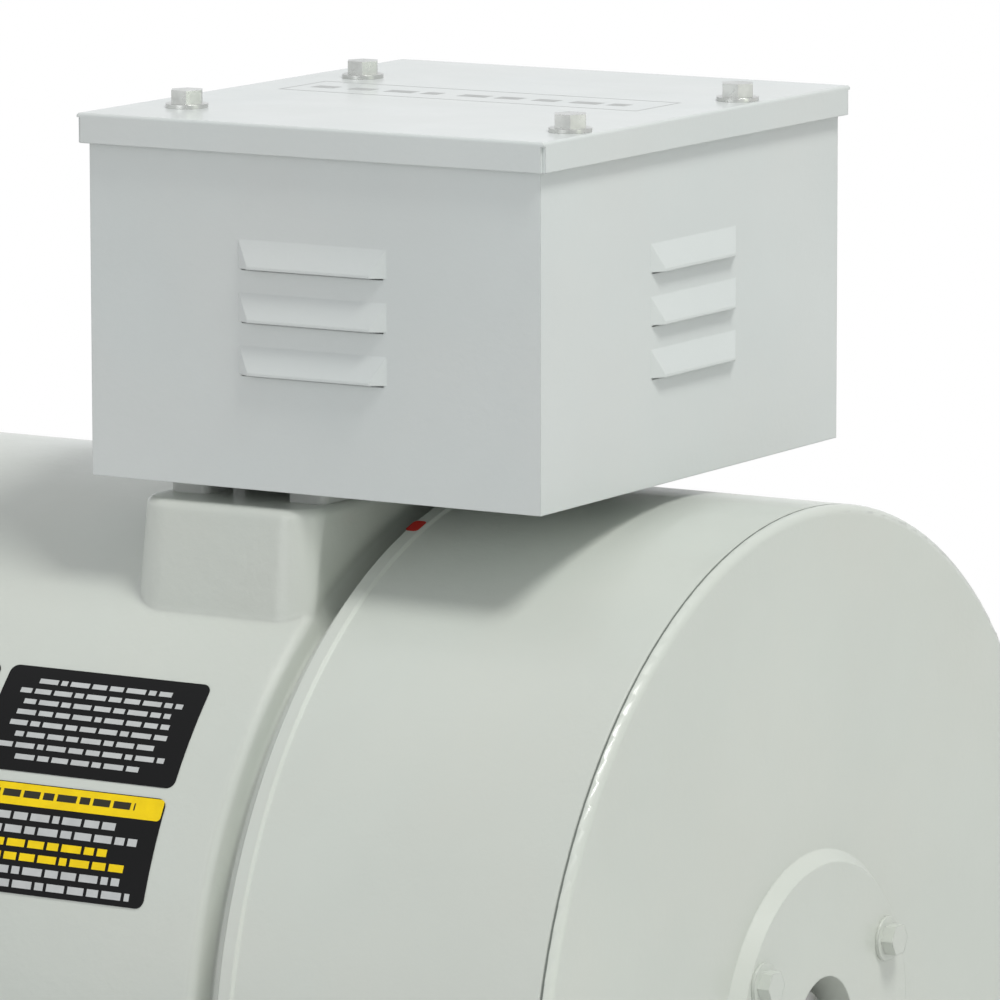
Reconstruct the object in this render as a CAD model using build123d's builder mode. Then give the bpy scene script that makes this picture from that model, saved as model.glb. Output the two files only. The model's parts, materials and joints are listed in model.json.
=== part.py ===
from build123d import *

import os
from math import cos, radians, sin, sqrt

# Foot-mounted brushless alternator head with a louvred terminal box. The shaft lies along X,
# drive end towards -X. The origin is the centre of the foot holes, on the surface they stand on.

# ---- Clearances -----------------------------------------------------------------------------
JOINT_GAP = 0.1             # between machined faces that are bolted together
FIT_GAP = 0.05              # radial, on located diameters
RUNNING_GAP = 0.35          # radial, between turning and fixed diameters
HOLE_GAP = 0.5              # radial, around a bolt's shank
AIR_GAP = 1.0               # between the rotor and stator cores

# ---- Feet and frame -------------------------------------------------------------------------
SHAFT_HEIGHT = 180.0
FOOT_SPACING_X = 241.0
FOOT_SPACING_Y = 279.0
FOOT_HOLE_R = 7.25
FOOT_LENGTH = 300.0
FOOT_OUTER_Y = 172.0
FOOT_INNER_Y = 96.0
FOOT_THICKNESS = 18.0
PAD_OUTER_Y = 124.0
PAD_HEIGHT = 30.0           # underside of the frame's pads above the floor
PAD_SCREW_R = 6.0

FRAME_FLOOR_GAP = 5.5       # between the frame and the floor
FRAME_WALL = 14.5
FRAME_R = SHAFT_HEIGHT - FRAME_FLOOR_GAP
FRAME_BORE_R = FRAME_R - FRAME_WALL
FRAME_FRONT_X = -181.5
NECK_X = 156.0              # a shallow groove sets the frame apart from the rear housing
NECK_DEPTH = 8.5
NECK_R = FRAME_R - NECK_DEPTH
NECK_EDGE = 2.0
SHOULDER_STEP = 3.5
SHOULDER_R = FRAME_R - SHOULDER_STEP
SHOULDER_WIDTH = 4.0
FRAME_REAR_X = 166.0
HOUSING_STEP = 1.5          # the rear housing stands proud of the frame
HOUSING_R = FRAME_R + HOUSING_STEP
CORE_RIBS = 8
CORE_RIB_WIDTH = 22.0

PEDESTAL_X = 121.5
PEDESTAL_LENGTH = 69.0
PEDESTAL_WIDTH = 199.0
PEDESTAL_RISE = 1.8         # of its top above the rear housing
PEDESTAL_TOP_Z = SHAFT_HEIGHT + HOUSING_R + PEDESTAL_RISE
PEDESTAL_WALL = 14.0
PEDESTAL_DRAFT = 5.0
PEDESTAL_CORNER_R = 12.0

# ---- Electrical parts -----------------------------------------------------------------------
CORE_FRONT_X = -100.0
CORE_REAR_X = 80.0
CORE_RIB_HEIGHT = 10.0
STATOR_R = FRAME_BORE_R - CORE_RIB_HEIGHT
STATOR_YOKE = 20.0
SLOT_DEPTH = 26.0
SLOT_LIP = 4.0
SLOTS = 36
SLOT_BOTTOM_R = STATOR_R - STATOR_YOKE
SLOT_TOP_R = SLOT_BOTTOM_R - SLOT_DEPTH
STATOR_BORE_R = SLOT_TOP_R - SLOT_LIP
SLOT_WIDTH = 9.0
SLOT_MOUTH = 3.0
COIL_OVERHANG = 34.0
COIL_BEND = 12.0

POLE_BODY_WIDTH = 54.0
POLE_SHOE_WIDTH = 116.0
POLE_SHOE_DEPTH = 20.0
POLE_TIP = 26.0             # from the pole's body to the stator bore
POLE_BODY_R = STATOR_BORE_R - POLE_TIP
ROTOR_COIL_WIDTH = 14.0
ROTOR_COIL_HEIGHT = 20.0

EXCITER_X = 176.0
EXCITER_LENGTH = 34.0
EXCITER_R = 92.0
EXCITER_BORE_R = 62.0
EXCITER_POLES = 8
EXCITER_POLE_WIDTH = 17.0
EXCITER_YOKE = 10.0
ARMATURE_SLOTS = 24
PILLAR_R = 8.0
PILLAR_PITCH_R = 102.0
PILLARS = 4
RECTIFIER_X = 220.0
RECTIFIER_R = 70.0
RECTIFIER_THICKNESS = 8.0
DIODES = 6
DIODE_PITCH_R = 52.0

# ---- Shaft and bearings ---------------------------------------------------------------------
STUB_R = 24.0
STUB_LENGTH = 110.0
SHOULDER_X = -241.5
KEYWAY_WIDTH = 14.0
KEYWAY_DEPTH = 5.5
KEYWAY_LENGTH = 90.0
CENTRE_HOLE_R = 8.5
CENTRE_HOLE_DEPTH = 36.0
FRONT_SEAT_R = 25.0
FRONT_COLLAR_R = 31.0
ROTOR_SEAT_R = 37.0
EXCITER_SEAT_R = 30.0
REAR_COLLAR_R = 26.0
REAR_SEAT_R = 20.0
SHAFT_TIP_R = 15.0
SHAFT_REAR_X = 286.0

FRONT_BEARING_X = -234.0
FRONT_BEARING_WIDTH = 27.0
FRONT_BEARING_R = 55.0
FRONT_BALL_R = 9.5
REAR_BEARING_X = 258.0
REAR_BEARING_WIDTH = 18.0
REAR_BEARING_R = 40.0
REAR_BALL_R = 6.0
BALLS = 8
RACE_GAP = 0.03             # radial, between a ball and its races
CAGE_WIDTH_SHARE = 0.8      # of the ball's diameter
CAGE_THICKNESS = 2.6

# ---- Drive-end bell, fan and tie bolts ------------------------------------------------------
BELL_R = FRAME_R
BELL_RIM = 14.0
BELL_WALL = 8.0
BELL_HUB_R = 78.0
BELL_FACE_X = SHOULDER_X + 1.0
BELL_VENTS = 8
BELL_VENT_INNER_R = 92.0
BELL_VENT_RIM = 34.5
BELL_VENT_OUTER_R = BELL_R - BELL_VENT_RIM
BELL_VENT_ANGLE = 30.0
FAN_X = -172.0
FAN_WIDTH = 30.0
FAN_TIP_GAP = 20.0
FAN_R = FRAME_BORE_R - FAN_TIP_GAP
FAN_HUB_R = 52.0
FAN_PLATE = 4.0
FAN_BLADES = 11
TIE_BOLTS = 4
TIE_INSET = 5.0
TIE_PITCH_R = FRAME_BORE_R - TIE_INSET
TIE_R = 4.0
CAP_THICKNESS = 7.0
CAP_SCREWS = 4

# ---- Rear housing and end bracket -----------------------------------------------------------
HOUSING_WALL = 7.0
HOUSING_FRONT_X = FRAME_REAR_X
SEAM_X = 286.0
SEAM_CHAMFER = 0.3
HOUSING_BEAD_WIDTH = 6.0
HOUSING_BEAD = 1.0
VENT_SLOTS = 9
VENT_SLOT_PITCH = 10.0      # degrees
VENT_SLOT_LENGTH = 62.0
VENT_SLOT_WIDTH = 14.0
BRACKET_FACE_X = 289.4
BRACKET_WALL = 10.0
BRACKET_EDGE_R = 3.0
BRACKET_SPIGOT = 16.0
BOSS_FOOT_R = 61.5
BOSS_TOP_R = 57.5
BOSS_RISE = 4.6
HUB_HOLE_R = 19.4
REAR_BOLT_PITCH_R = 49.2
REAR_BOLTS = 3
REAR_BOLT_START = 30.0

# ---- Terminal box ---------------------------------------------------------------------------
BOX_X = 157.0
BOX_LENGTH = 173.0
BOX_WIDTH = 198.0
BOX_GAP = 5.8               # under the box, held by the spacers
BOX_HEIGHT = 121.0
BOX_BOTTOM_Z = PEDESTAL_TOP_Z + BOX_GAP
LID_TOP_Z = BOX_BOTTOM_Z + BOX_HEIGHT
SHEET = 1.5
GASKET = 2.0
LID_OVERHANG = 3.0
LID_SKIRT = 10.0
LID_CORNER_SLIT = 1.2
FLANGE_X = 28.0
FLANGE_Y = 12.0
LID_SCREW_LEFT_X = 90.0
LID_SCREW_RIGHT_X = 237.5
LID_SCREW_Y = (-70.0, 40.0)
LID_SCREW_R = 3.0
LID_WASHER_R = 7.1
LOUVRE_LENGTH = 57.0
LOUVRE_TAPER = 5.0
LOUVRE_HEIGHT = 9.5
LOUVRE_RISE = 2.8
LOUVRE_LIP = 1.0
LOUVRE_PITCH = 17.5
LOUVRE_FIRST_SIDE = 38.0    # lowest slit above the box bottom, on the long sides
LOUVRE_FIRST_END = 36.0
LOUVRES = 3
BOX_SCREW_SPACING_X = 46.0
BOX_SCREW_SPACING_Y = 150.0
LEAD_HOLE_X = 48.0
LEAD_HOLE_Y = 96.0
GLAND_Y = 60.0
GLAND_Z = 36.0              # above the box bottom
GLAND_CUT = 46.0
GLAND_PLATE = 64.0
GLAND_PLATE_THICKNESS = 3.0
GLAND_BORE_R = 10.5
GLAND_THREAD_R = 16.0

# ---- Worked-out places ----------------------------------------------------------------------
os.makedirs("parts", exist_ok=True)
SHAFT_AXIS = Axis((0, 0, SHAFT_HEIGHT), (1, 0, 0))
TURNING = Plane(origin=(0, 0, SHAFT_HEIGHT), x_dir=(1, 0, 0), z_dir=(0, -1, 0))
BOX_TOP_Z = LID_TOP_Z - SHEET - GASKET
BRACKET_INNER_X = BRACKET_FACE_X - BRACKET_WALL
STATOR_LENGTH = CORE_REAR_X - CORE_FRONT_X
PITCH_FRONT_R = (FRONT_SEAT_R + FRONT_BEARING_R) / 2
PITCH_REAR_R = (REAR_SEAT_R + REAR_BEARING_R) / 2


def across(x):
    """Plane square to the shaft: its first axis is Y, its second Z, centred on the shaft."""
    return Plane(origin=(x, 0, SHAFT_HEIGHT), x_dir=(0, 1, 0), z_dir=(1, 0, 0))


def looking_front(x):
    """The same plane with its normal towards the drive end; its first axis is -Y."""
    return Plane(origin=(x, 0, SHAFT_HEIGHT), x_dir=(0, -1, 0), z_dir=(-1, 0, 0))


def turned(points):
    """Profile to revolve about the shaft, from its (x, radius) outline."""
    with BuildSketch(TURNING) as profile:
        with BuildLine():
            Polyline(*points, close=True)
        make_face()
    return profile.sketch


def ring(x, length, inner, outer):
    """Profile of a plain ring about the shaft."""
    return turned([(x, inner), (x + length, inner), (x + length, outer), (x, outer)])


def hex_bolt(thread_r, head_r, head, shank, washer_r):
    """A hex bolt with a washer: Z = 0 is the clamped face and the head points to +Z."""
    washer = head * 0.3
    with BuildPart() as bolt:
        Cylinder(washer_r, washer, align=(Align.CENTER, Align.CENTER, Align.MIN))
        with BuildSketch(Plane.XY.offset(washer)):
            RegularPolygon(head_r, 6)
        extrude(amount=head)
        Cylinder(thread_r, shank, align=(Align.CENTER, Align.CENTER, Align.MAX))
    return bolt.part


def socket_screw(thread_r, head_r, head, shank):
    """A socket-head screw: Z = 0 is the clamped face and the head points to +Z."""
    with BuildPart() as screw:
        Cylinder(head_r, head, align=(Align.CENTER, Align.CENTER, Align.MIN))
        Cylinder(thread_r, shank, align=(Align.CENTER, Align.CENTER, Align.MAX))
        with BuildSketch(Plane.XY.offset(head)):
            RegularPolygon(thread_r * 0.75, 6)
        extrude(amount=-head * 0.55, mode=Mode.SUBTRACT)
    return screw.part


def around(plane, pitch_r, count, start):
    """Places on a bolt circle; start is the first one's angle on the plane."""
    places = []
    for number in range(count):
        angle = radians(start + 360.0 * number / count)
        places.append(plane.location * Location((pitch_r * cos(angle), pitch_r * sin(angle), 0)))
    return places


# ---- Frame and feet -------------------------------------------------------------------------
with BuildPart() as frame_casting:
    frame_profile = turned([
        (FRAME_FRONT_X, 0), (FRAME_FRONT_X, FRAME_R), (NECK_X - NECK_EDGE, FRAME_R),
        (NECK_X, FRAME_R - NECK_EDGE), (FRAME_REAR_X, FRAME_R - NECK_EDGE), (FRAME_REAR_X, 0),
    ])
    revolve(frame_profile, axis=SHAFT_AXIS)
    with BuildSketch(Plane.XY.offset(PEDESTAL_TOP_Z)):
        with Locations((PEDESTAL_X, 0)):
            RectangleRounded(PEDESTAL_LENGTH, PEDESTAL_WIDTH, PEDESTAL_CORNER_R)
    extrude(amount=-(PEDESTAL_TOP_Z - SHAFT_HEIGHT), taper=-PEDESTAL_DRAFT)
    fillet(frame_casting.faces().sort_by(Axis.Z)[-1].edges(), radius=3.0)
    # groove between the frame and the rear housing
    neck_profile = turned([
        (NECK_X, FRAME_R + PEDESTAL_WIDTH), (NECK_X, FRAME_R - NECK_EDGE), (NECK_X + NECK_EDGE, NECK_R),
        (FRAME_REAR_X - SHOULDER_WIDTH, NECK_R), (FRAME_REAR_X - SHOULDER_WIDTH, SHOULDER_R),
        (FRAME_REAR_X, SHOULDER_R), (FRAME_REAR_X, 0),
        (FRAME_REAR_X + PEDESTAL_LENGTH, 0), (FRAME_REAR_X + PEDESTAL_LENGTH, FRAME_R + PEDESTAL_WIDTH),
    ])
    revolve(neck_profile, axis=SHAFT_AXIS, mode=Mode.SUBTRACT)
    with BuildSketch(Plane.XY.offset(PAD_HEIGHT)):
        with GridLocations(1, FOOT_INNER_Y + PAD_OUTER_Y, 1, 2):
            Rectangle(FOOT_LENGTH, PAD_OUTER_Y - FOOT_INNER_Y)
    extrude(amount=SHAFT_HEIGHT - PAD_HEIGHT - FRAME_R * 0.6)
    with BuildSketch(across(FRAME_FRONT_X)):
        Circle(FRAME_BORE_R)
    extrude(amount=FRAME_REAR_X - FRAME_FRONT_X, mode=Mode.SUBTRACT)
    # ribs that hold the stator core and leave air passages between them
    with BuildSketch(across(CORE_FRONT_X)) as core_ribs:
        with PolarLocations((STATOR_R + FRAME_BORE_R) / 2, CORE_RIBS, start_angle=180.0 / CORE_RIBS):
            Rectangle(FRAME_BORE_R - STATOR_R + 4.0, CORE_RIB_WIDTH)
        Circle(STATOR_R + FIT_GAP, mode=Mode.SUBTRACT)
    extrude(amount=STATOR_LENGTH)
    # spigot that centres the rear housing
    spigot_r = HOUSING_R - HOUSING_WALL - FIT_GAP
    revolve(ring(FRAME_REAR_X - 4.0, 12.0, FRAME_BORE_R, spigot_r), axis=SHAFT_AXIS)
    with BuildSketch(Plane.XY.offset(PEDESTAL_TOP_Z)):
        with Locations((PEDESTAL_X, 0)):
            Rectangle(LEAD_HOLE_X, LEAD_HOLE_Y)
    extrude(amount=-60.0, mode=Mode.SUBTRACT)
    with Locations((PEDESTAL_X, 0, PEDESTAL_TOP_Z)):
        with GridLocations(BOX_SCREW_SPACING_X, BOX_SCREW_SPACING_Y, 2, 2):
            Hole(LID_SCREW_R + FIT_GAP, depth=14.0)
    with Locations(Location((0, 0, PAD_HEIGHT), (180, 0, 0))):
        with GridLocations(FOOT_SPACING_X, FOOT_INNER_Y + PAD_OUTER_Y, 2, 2):
            Hole(PAD_SCREW_R + FIT_GAP, depth=18.0)
frame_casting.part.label = "frame_casting"
export_step(frame_casting.part, "parts/frame_casting.step")

for name, side in (("foot_left", 1), ("foot_right", -1)):
    with BuildPart() as foot:
        with BuildSketch(Plane.YZ.offset(-FOOT_LENGTH / 2)):
            with BuildLine():
                Polyline(
                    (side * FOOT_INNER_Y, 0), (side * FOOT_OUTER_Y, 0),
                    (side * FOOT_OUTER_Y, FOOT_THICKNESS - 4.0),
                    (side * (FOOT_OUTER_Y - 4.0), FOOT_THICKNESS),
                    (side * (PAD_OUTER_Y + 6.0), FOOT_THICKNESS),
                    (side * PAD_OUTER_Y, FOOT_THICKNESS + 6.0),
                    (side * PAD_OUTER_Y, PAD_HEIGHT), (side * FOOT_INNER_Y, PAD_HEIGHT), close=True,
                )
            make_face()
        extrude(amount=FOOT_LENGTH)
        corners = foot.edges().filter_by(Axis.Z).group_by(Axis.Y)[-1 if side > 0 else 0]
        fillet(corners, radius=12.0)
        with Locations((0, side * FOOT_SPACING_Y / 2, FOOT_THICKNESS)):
            with GridLocations(FOOT_SPACING_X, 1, 2, 1):
                Hole(FOOT_HOLE_R)
        with Locations(Location((0, side * (FOOT_INNER_Y + PAD_OUTER_Y) / 2, 0), (180, 0, 0))):
            with GridLocations(FOOT_SPACING_X, 1, 2, 1):
                CounterBoreHole(PAD_SCREW_R + HOLE_GAP, PAD_SCREW_R + 4.0, FOOT_THICKNESS - 4.0)
    foot.part.label = name
    export_step(foot.part, f"parts/{name}.step")

pad_screw = socket_screw(PAD_SCREW_R, PAD_SCREW_R * 1.5, 12.0, PAD_HEIGHT - FOOT_THICKNESS + 18.0)
with BuildPart() as foot_screws:
    with Locations(Location((0, 0, FOOT_THICKNESS - 4.0), (180, 0, 0))):
        with GridLocations(FOOT_SPACING_X, FOOT_INNER_Y + PAD_OUTER_Y, 2, 2):
            add(pad_screw)
foot_screws.part.label = "foot_screws"
export_step(foot_screws.part, "parts/foot_screws.step")

# ---- Stator core and winding ----------------------------------------------------------------
with BuildPart() as stator_core:
    with BuildSketch(across(CORE_FRONT_X)):
        Circle(STATOR_R)
        Circle(STATOR_BORE_R, mode=Mode.SUBTRACT)
        with PolarLocations((SLOT_TOP_R + SLOT_BOTTOM_R) / 2, SLOTS):
            Rectangle(SLOT_BOTTOM_R - SLOT_TOP_R, SLOT_WIDTH, mode=Mode.SUBTRACT)
        with PolarLocations(SLOT_TOP_R - 3.0, SLOTS):
            Rectangle(8.0, SLOT_MOUTH, mode=Mode.SUBTRACT)
    extrude(amount=STATOR_LENGTH)
stator_core.part.label = "stator_core"
export_step(stator_core.part, "parts/stator_core.step")

WINDING_INNER_R = SLOT_TOP_R + 2 * JOINT_GAP
WINDING_OUTER_R = SLOT_BOTTOM_R + 7.0
with BuildPart() as stator_winding:
    with BuildSketch(across(CORE_FRONT_X)):
        with PolarLocations((SLOT_TOP_R + SLOT_BOTTOM_R) / 2, SLOTS):
            Rectangle(SLOT_BOTTOM_R - SLOT_TOP_R - 2 * JOINT_GAP, SLOT_WIDTH - 2 * JOINT_GAP)
    extrude(amount=STATOR_LENGTH)
    # the coil heads stand clear of the core and lean outwards
    for edge_x, away in ((CORE_FRONT_X, -1), (CORE_REAR_X, 1)):
        head_profile = turned([
            (edge_x, WINDING_INNER_R), (edge_x + away * COIL_OVERHANG, WINDING_INNER_R + COIL_BEND / 2),
            (edge_x + away * COIL_OVERHANG, WINDING_OUTER_R - COIL_BEND / 3),
            (edge_x + away * (COIL_OVERHANG - COIL_BEND / 2), WINDING_OUTER_R),
            (edge_x + away * COIL_BEND, WINDING_OUTER_R), (edge_x, SLOT_BOTTOM_R - 2 * JOINT_GAP),
        ])
        revolve(head_profile, axis=SHAFT_AXIS)
stator_winding.part.label = "stator_winding"
export_step(stator_winding.part, "parts/stator_winding.step")

# ---- Drive-end bell -------------------------------------------------------------------------
FRONT_POCKET_X = FRONT_BEARING_X + FRONT_BEARING_WIDTH
with BuildPart() as drive_end_bell:
    bell_rim_x = FRAME_FRONT_X - BELL_RIM
    bell_profile = turned([
        (BELL_FACE_X, FRONT_COLLAR_R + 3.0), (BELL_FACE_X, BELL_HUB_R),
        (BELL_FACE_X + BELL_WALL - 2.0, BELL_HUB_R + 4.0), (bell_rim_x, TIE_PITCH_R - 9.0),
        (bell_rim_x, BELL_R - 3.0), (bell_rim_x + 3.0, BELL_R), (FRAME_FRONT_X, BELL_R),
        (FRAME_FRONT_X, FRAME_BORE_R - FIT_GAP), (FRAME_FRONT_X + 6.0, FRAME_BORE_R - FIT_GAP),
        (FRAME_FRONT_X + 6.0, TIE_PITCH_R - 6.0), (bell_rim_x + BELL_WALL + 2.0, TIE_PITCH_R - 9.0),
        (BELL_FACE_X + 2 * BELL_WALL + 2.0, BELL_HUB_R + 6.0),
        (BELL_FACE_X + 2 * BELL_WALL + 6.0, BELL_HUB_R - 2.0), (FRONT_POCKET_X, BELL_HUB_R - 2.0),
        (FRONT_POCKET_X, FRONT_BEARING_R + FIT_GAP), (FRONT_BEARING_X, FRONT_BEARING_R + FIT_GAP),
        (FRONT_BEARING_X, FRONT_COLLAR_R + 3.0),
    ])
    revolve(bell_profile, axis=SHAFT_AXIS)
    with BuildSketch(across(BELL_FACE_X)):
        Circle(BELL_VENT_OUTER_R)
        Circle(BELL_VENT_INNER_R, mode=Mode.SUBTRACT)
        with PolarLocations(BELL_VENT_OUTER_R / 2, BELL_VENTS):
            Rectangle(BELL_VENT_OUTER_R + 4.0, BELL_VENT_ANGLE, mode=Mode.SUBTRACT)
    extrude(amount=FRAME_FRONT_X - BELL_FACE_X, mode=Mode.SUBTRACT)
    with Locations(*around(looking_front(bell_rim_x), TIE_PITCH_R, TIE_BOLTS, 45.0)):
        Hole(TIE_R + HOLE_GAP)
    with Locations(*around(across(FRONT_POCKET_X), FRONT_BEARING_R + 10.0, CAP_SCREWS, 0.0)):
        Hole(LID_SCREW_R + FIT_GAP, depth=16.0)
drive_end_bell.part.label = "drive_end_bell"
export_step(drive_end_bell.part, "parts/drive_end_bell.step")

with BuildPart() as drive_seal:
    revolve(
        ring(BELL_FACE_X, FRONT_BEARING_X - BELL_FACE_X - 0.5, FRONT_SEAT_R + FIT_GAP, FRONT_COLLAR_R + 3.0),
        axis=SHAFT_AXIS,
    )
drive_seal.part.label = "drive_seal"
export_step(drive_seal.part, "parts/drive_seal.step")

with BuildPart() as drive_bearing_cap:
    revolve(
        ring(FRONT_POCKET_X, CAP_THICKNESS, FRONT_COLLAR_R + RUNNING_GAP, BELL_HUB_R - 4.0),
        axis=SHAFT_AXIS,
    )
    cap_face = across(FRONT_POCKET_X + CAP_THICKNESS)
    with Locations(*around(cap_face, FRONT_BEARING_R + 10.0, CAP_SCREWS, 0.0)):
        Hole(LID_SCREW_R + HOLE_GAP)
drive_bearing_cap.part.label = "drive_bearing_cap"
export_step(drive_bearing_cap.part, "parts/drive_bearing_cap.step")

cap_screw = hex_bolt(LID_SCREW_R, 5.5, 4.0, CAP_THICKNESS + 14.0, 6.4)
with BuildPart() as drive_cap_screws:
    with Locations(*around(cap_face, FRONT_BEARING_R + 10.0, CAP_SCREWS, 0.0)):
        add(cap_screw)
drive_cap_screws.part.label = "drive_cap_screws"
export_step(drive_cap_screws.part, "parts/drive_cap_screws.step")

# ---- Rear housing and bracket ---------------------------------------------------------------
HOUSING_BORE_R = HOUSING_R - HOUSING_WALL
with BuildPart() as exciter_housing:
    revolve(
        turned([
            (HOUSING_FRONT_X, HOUSING_BORE_R), (HOUSING_FRONT_X, HOUSING_R - 1.0),
            (HOUSING_FRONT_X + 1.5, HOUSING_R + HOUSING_BEAD),
            (HOUSING_FRONT_X + HOUSING_BEAD_WIDTH, HOUSING_R + HOUSING_BEAD),
            (HOUSING_FRONT_X + HOUSING_BEAD_WIDTH + 1.0, HOUSING_R), (SEAM_X - 1.0, HOUSING_R),
            (SEAM_X, HOUSING_R - 1.0), (SEAM_X, HOUSING_BORE_R),
        ]),
        axis=SHAFT_AXIS,
    )
    # air inlets, round the underside only
    for number in range(VENT_SLOTS):
        angle = radians(-90.0 + (number - (VENT_SLOTS - 1) / 2) * VENT_SLOT_PITCH)
        below = Plane(
            origin=((HOUSING_FRONT_X + SEAM_X) / 2, 0, SHAFT_HEIGHT),
            x_dir=(1, 0, 0), z_dir=(0, cos(angle), sin(angle)),
        )
        with BuildSketch(below):
            SlotOverall(VENT_SLOT_LENGTH, VENT_SLOT_WIDTH)
        extrude(amount=HOUSING_R * 1.2, mode=Mode.SUBTRACT)
exciter_housing.part.label = "exciter_housing"
export_step(exciter_housing.part, "parts/exciter_housing.step")

REAR_POCKET_X = REAR_BEARING_X + REAR_BEARING_WIDTH
BOSS_FACE_X = BRACKET_FACE_X + BOSS_RISE
with BuildPart() as rear_bracket:
    with BuildSketch(TURNING):
        with BuildLine():
            Polyline(
                (BRACKET_FACE_X - BRACKET_EDGE_R, HOUSING_R), (SEAM_X + SEAM_CHAMFER, HOUSING_R),
                (SEAM_X, HOUSING_R - SEAM_CHAMFER), (SEAM_X, HOUSING_BORE_R - FIT_GAP),
                (BRACKET_INNER_X - BRACKET_SPIGOT / 2, HOUSING_BORE_R - FIT_GAP),
                (BRACKET_INNER_X - BRACKET_SPIGOT / 2, HOUSING_BORE_R - 8.0),
                (BRACKET_INNER_X, HOUSING_BORE_R - 10.0), (BRACKET_INNER_X, BOSS_FOOT_R + 3.0),
                (REAR_BEARING_X, BOSS_FOOT_R), (REAR_BEARING_X, REAR_BEARING_R + FIT_GAP),
                (REAR_POCKET_X, REAR_BEARING_R + FIT_GAP), (REAR_POCKET_X, HUB_HOLE_R),
                (BOSS_FACE_X, HUB_HOLE_R), (BOSS_FACE_X, BOSS_TOP_R), (BRACKET_FACE_X, BOSS_FOOT_R),
                (BRACKET_FACE_X, HOUSING_R - BRACKET_EDGE_R),
            )
            RadiusArc(
                (BRACKET_FACE_X, HOUSING_R - BRACKET_EDGE_R),
                (BRACKET_FACE_X - BRACKET_EDGE_R, HOUSING_R), -BRACKET_EDGE_R,
            )
        make_face()
    revolve(axis=SHAFT_AXIS)
    # bosses for the tie bolts and pillars for the exciter
    with BuildSketch(across(BRACKET_INNER_X)):
        with PolarLocations(TIE_PITCH_R, TIE_BOLTS, start_angle=45.0):
            Circle(2 * TIE_R + 1.0)
    extrude(amount=-BRACKET_SPIGOT)
    with BuildSketch(across(BRACKET_INNER_X)):
        with PolarLocations(PILLAR_PITCH_R, PILLARS, start_angle=45.0):
            Circle(PILLAR_R)
    extrude(amount=-(BRACKET_INNER_X - EXCITER_X - EXCITER_LENGTH))
    with Locations(*around(looking_front(BRACKET_INNER_X - BRACKET_SPIGOT), TIE_PITCH_R, TIE_BOLTS, 45.0)):
        Hole(TIE_R + FIT_GAP, depth=BRACKET_SPIGOT + 2.0)
    with Locations(*around(looking_front(EXCITER_X + EXCITER_LENGTH), PILLAR_PITCH_R, PILLARS, 45.0)):
        Hole(TIE_R + FIT_GAP, depth=20.0)
    with Locations(*around(across(BOSS_FACE_X), REAR_BOLT_PITCH_R, REAR_BOLTS, REAR_BOLT_START)):
        Hole(LID_SCREW_R + HOLE_GAP)
rear_bracket.part.label = "rear_bracket"
export_step(rear_bracket.part, "parts/rear_bracket.step")

with BuildPart() as rear_bearing_cap:
    revolve(
        ring(REAR_BEARING_X - 11.0, 11.0, REAR_COLLAR_R + RUNNING_GAP, BOSS_FOOT_R - 3.0),
        axis=SHAFT_AXIS,
    )
    with Locations(*around(across(REAR_BEARING_X), REAR_BOLT_PITCH_R, REAR_BOLTS, REAR_BOLT_START)):
        Hole(LID_SCREW_R + FIT_GAP)
rear_bearing_cap.part.label = "rear_bearing_cap"
export_step(rear_bearing_cap.part, "parts/rear_bearing_cap.step")

rear_bolt = hex_bolt(LID_SCREW_R, 5.6, 4.2, BOSS_FACE_X - REAR_BEARING_X + 9.0, 7.6)
with BuildPart() as rear_cap_bolts:
    with Locations(*around(across(BOSS_FACE_X), REAR_BOLT_PITCH_R, REAR_BOLTS, REAR_BOLT_START)):
        add(rear_bolt)
rear_cap_bolts.part.label = "rear_cap_bolts"
export_step(rear_cap_bolts.part, "parts/rear_cap_bolts.step")

tie_length = BRACKET_INNER_X - (FRAME_FRONT_X - BELL_RIM)
tie_bolt = hex_bolt(TIE_R, 7.4, 5.6, tie_length, 8.2)
with BuildPart() as tie_bolts:
    with Locations(*around(looking_front(FRAME_FRONT_X - BELL_RIM), TIE_PITCH_R, TIE_BOLTS, 45.0)):
        add(tie_bolt)
tie_bolts.part.label = "tie_bolts"
export_step(tie_bolts.part, "parts/tie_bolts.step")

# ---- Exciter stator -------------------------------------------------------------------------
YOKE_BORE_R = EXCITER_R - 2 * EXCITER_YOKE
with BuildPart() as exciter_core:
    with BuildSketch(across(EXCITER_X)):
        Circle(EXCITER_R)
        Circle(YOKE_BORE_R, mode=Mode.SUBTRACT)
        with PolarLocations((EXCITER_BORE_R + YOKE_BORE_R) / 2, EXCITER_POLES):
            Rectangle(YOKE_BORE_R - EXCITER_BORE_R + 8.0, EXCITER_POLE_WIDTH)
        Circle(EXCITER_BORE_R, mode=Mode.SUBTRACT)
    extrude(amount=EXCITER_LENGTH)
    with Locations(*around(looking_front(EXCITER_X), PILLAR_PITCH_R, PILLARS, 45.0)):
        Hole(TIE_R + HOLE_GAP)
exciter_core.part.label = "exciter_core"
export_step(exciter_core.part, "parts/exciter_core.step")

with BuildPart() as exciter_coils:
    for number in range(EXCITER_POLES):
        angle = radians(360.0 * number / EXCITER_POLES)
        outward = (0, cos(angle), sin(angle))
        middle = (EXCITER_X + EXCITER_LENGTH / 2, 0, SHAFT_HEIGHT)
        base = Plane(origin=middle, x_dir=(1, 0, 0), z_dir=outward).offset(EXCITER_BORE_R + 7.0)
        with BuildSketch(base):
            RectangleRounded(EXCITER_LENGTH + 12.0, EXCITER_POLE_WIDTH + 12.0, 5.0)
            Rectangle(
                EXCITER_LENGTH + 2 * JOINT_GAP, EXCITER_POLE_WIDTH + 2 * JOINT_GAP, mode=Mode.SUBTRACT,
            )
        extrude(amount=YOKE_BORE_R - EXCITER_BORE_R - 11.0)
exciter_coils.part.label = "exciter_coils"
export_step(exciter_coils.part, "parts/exciter_coils.step")

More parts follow.
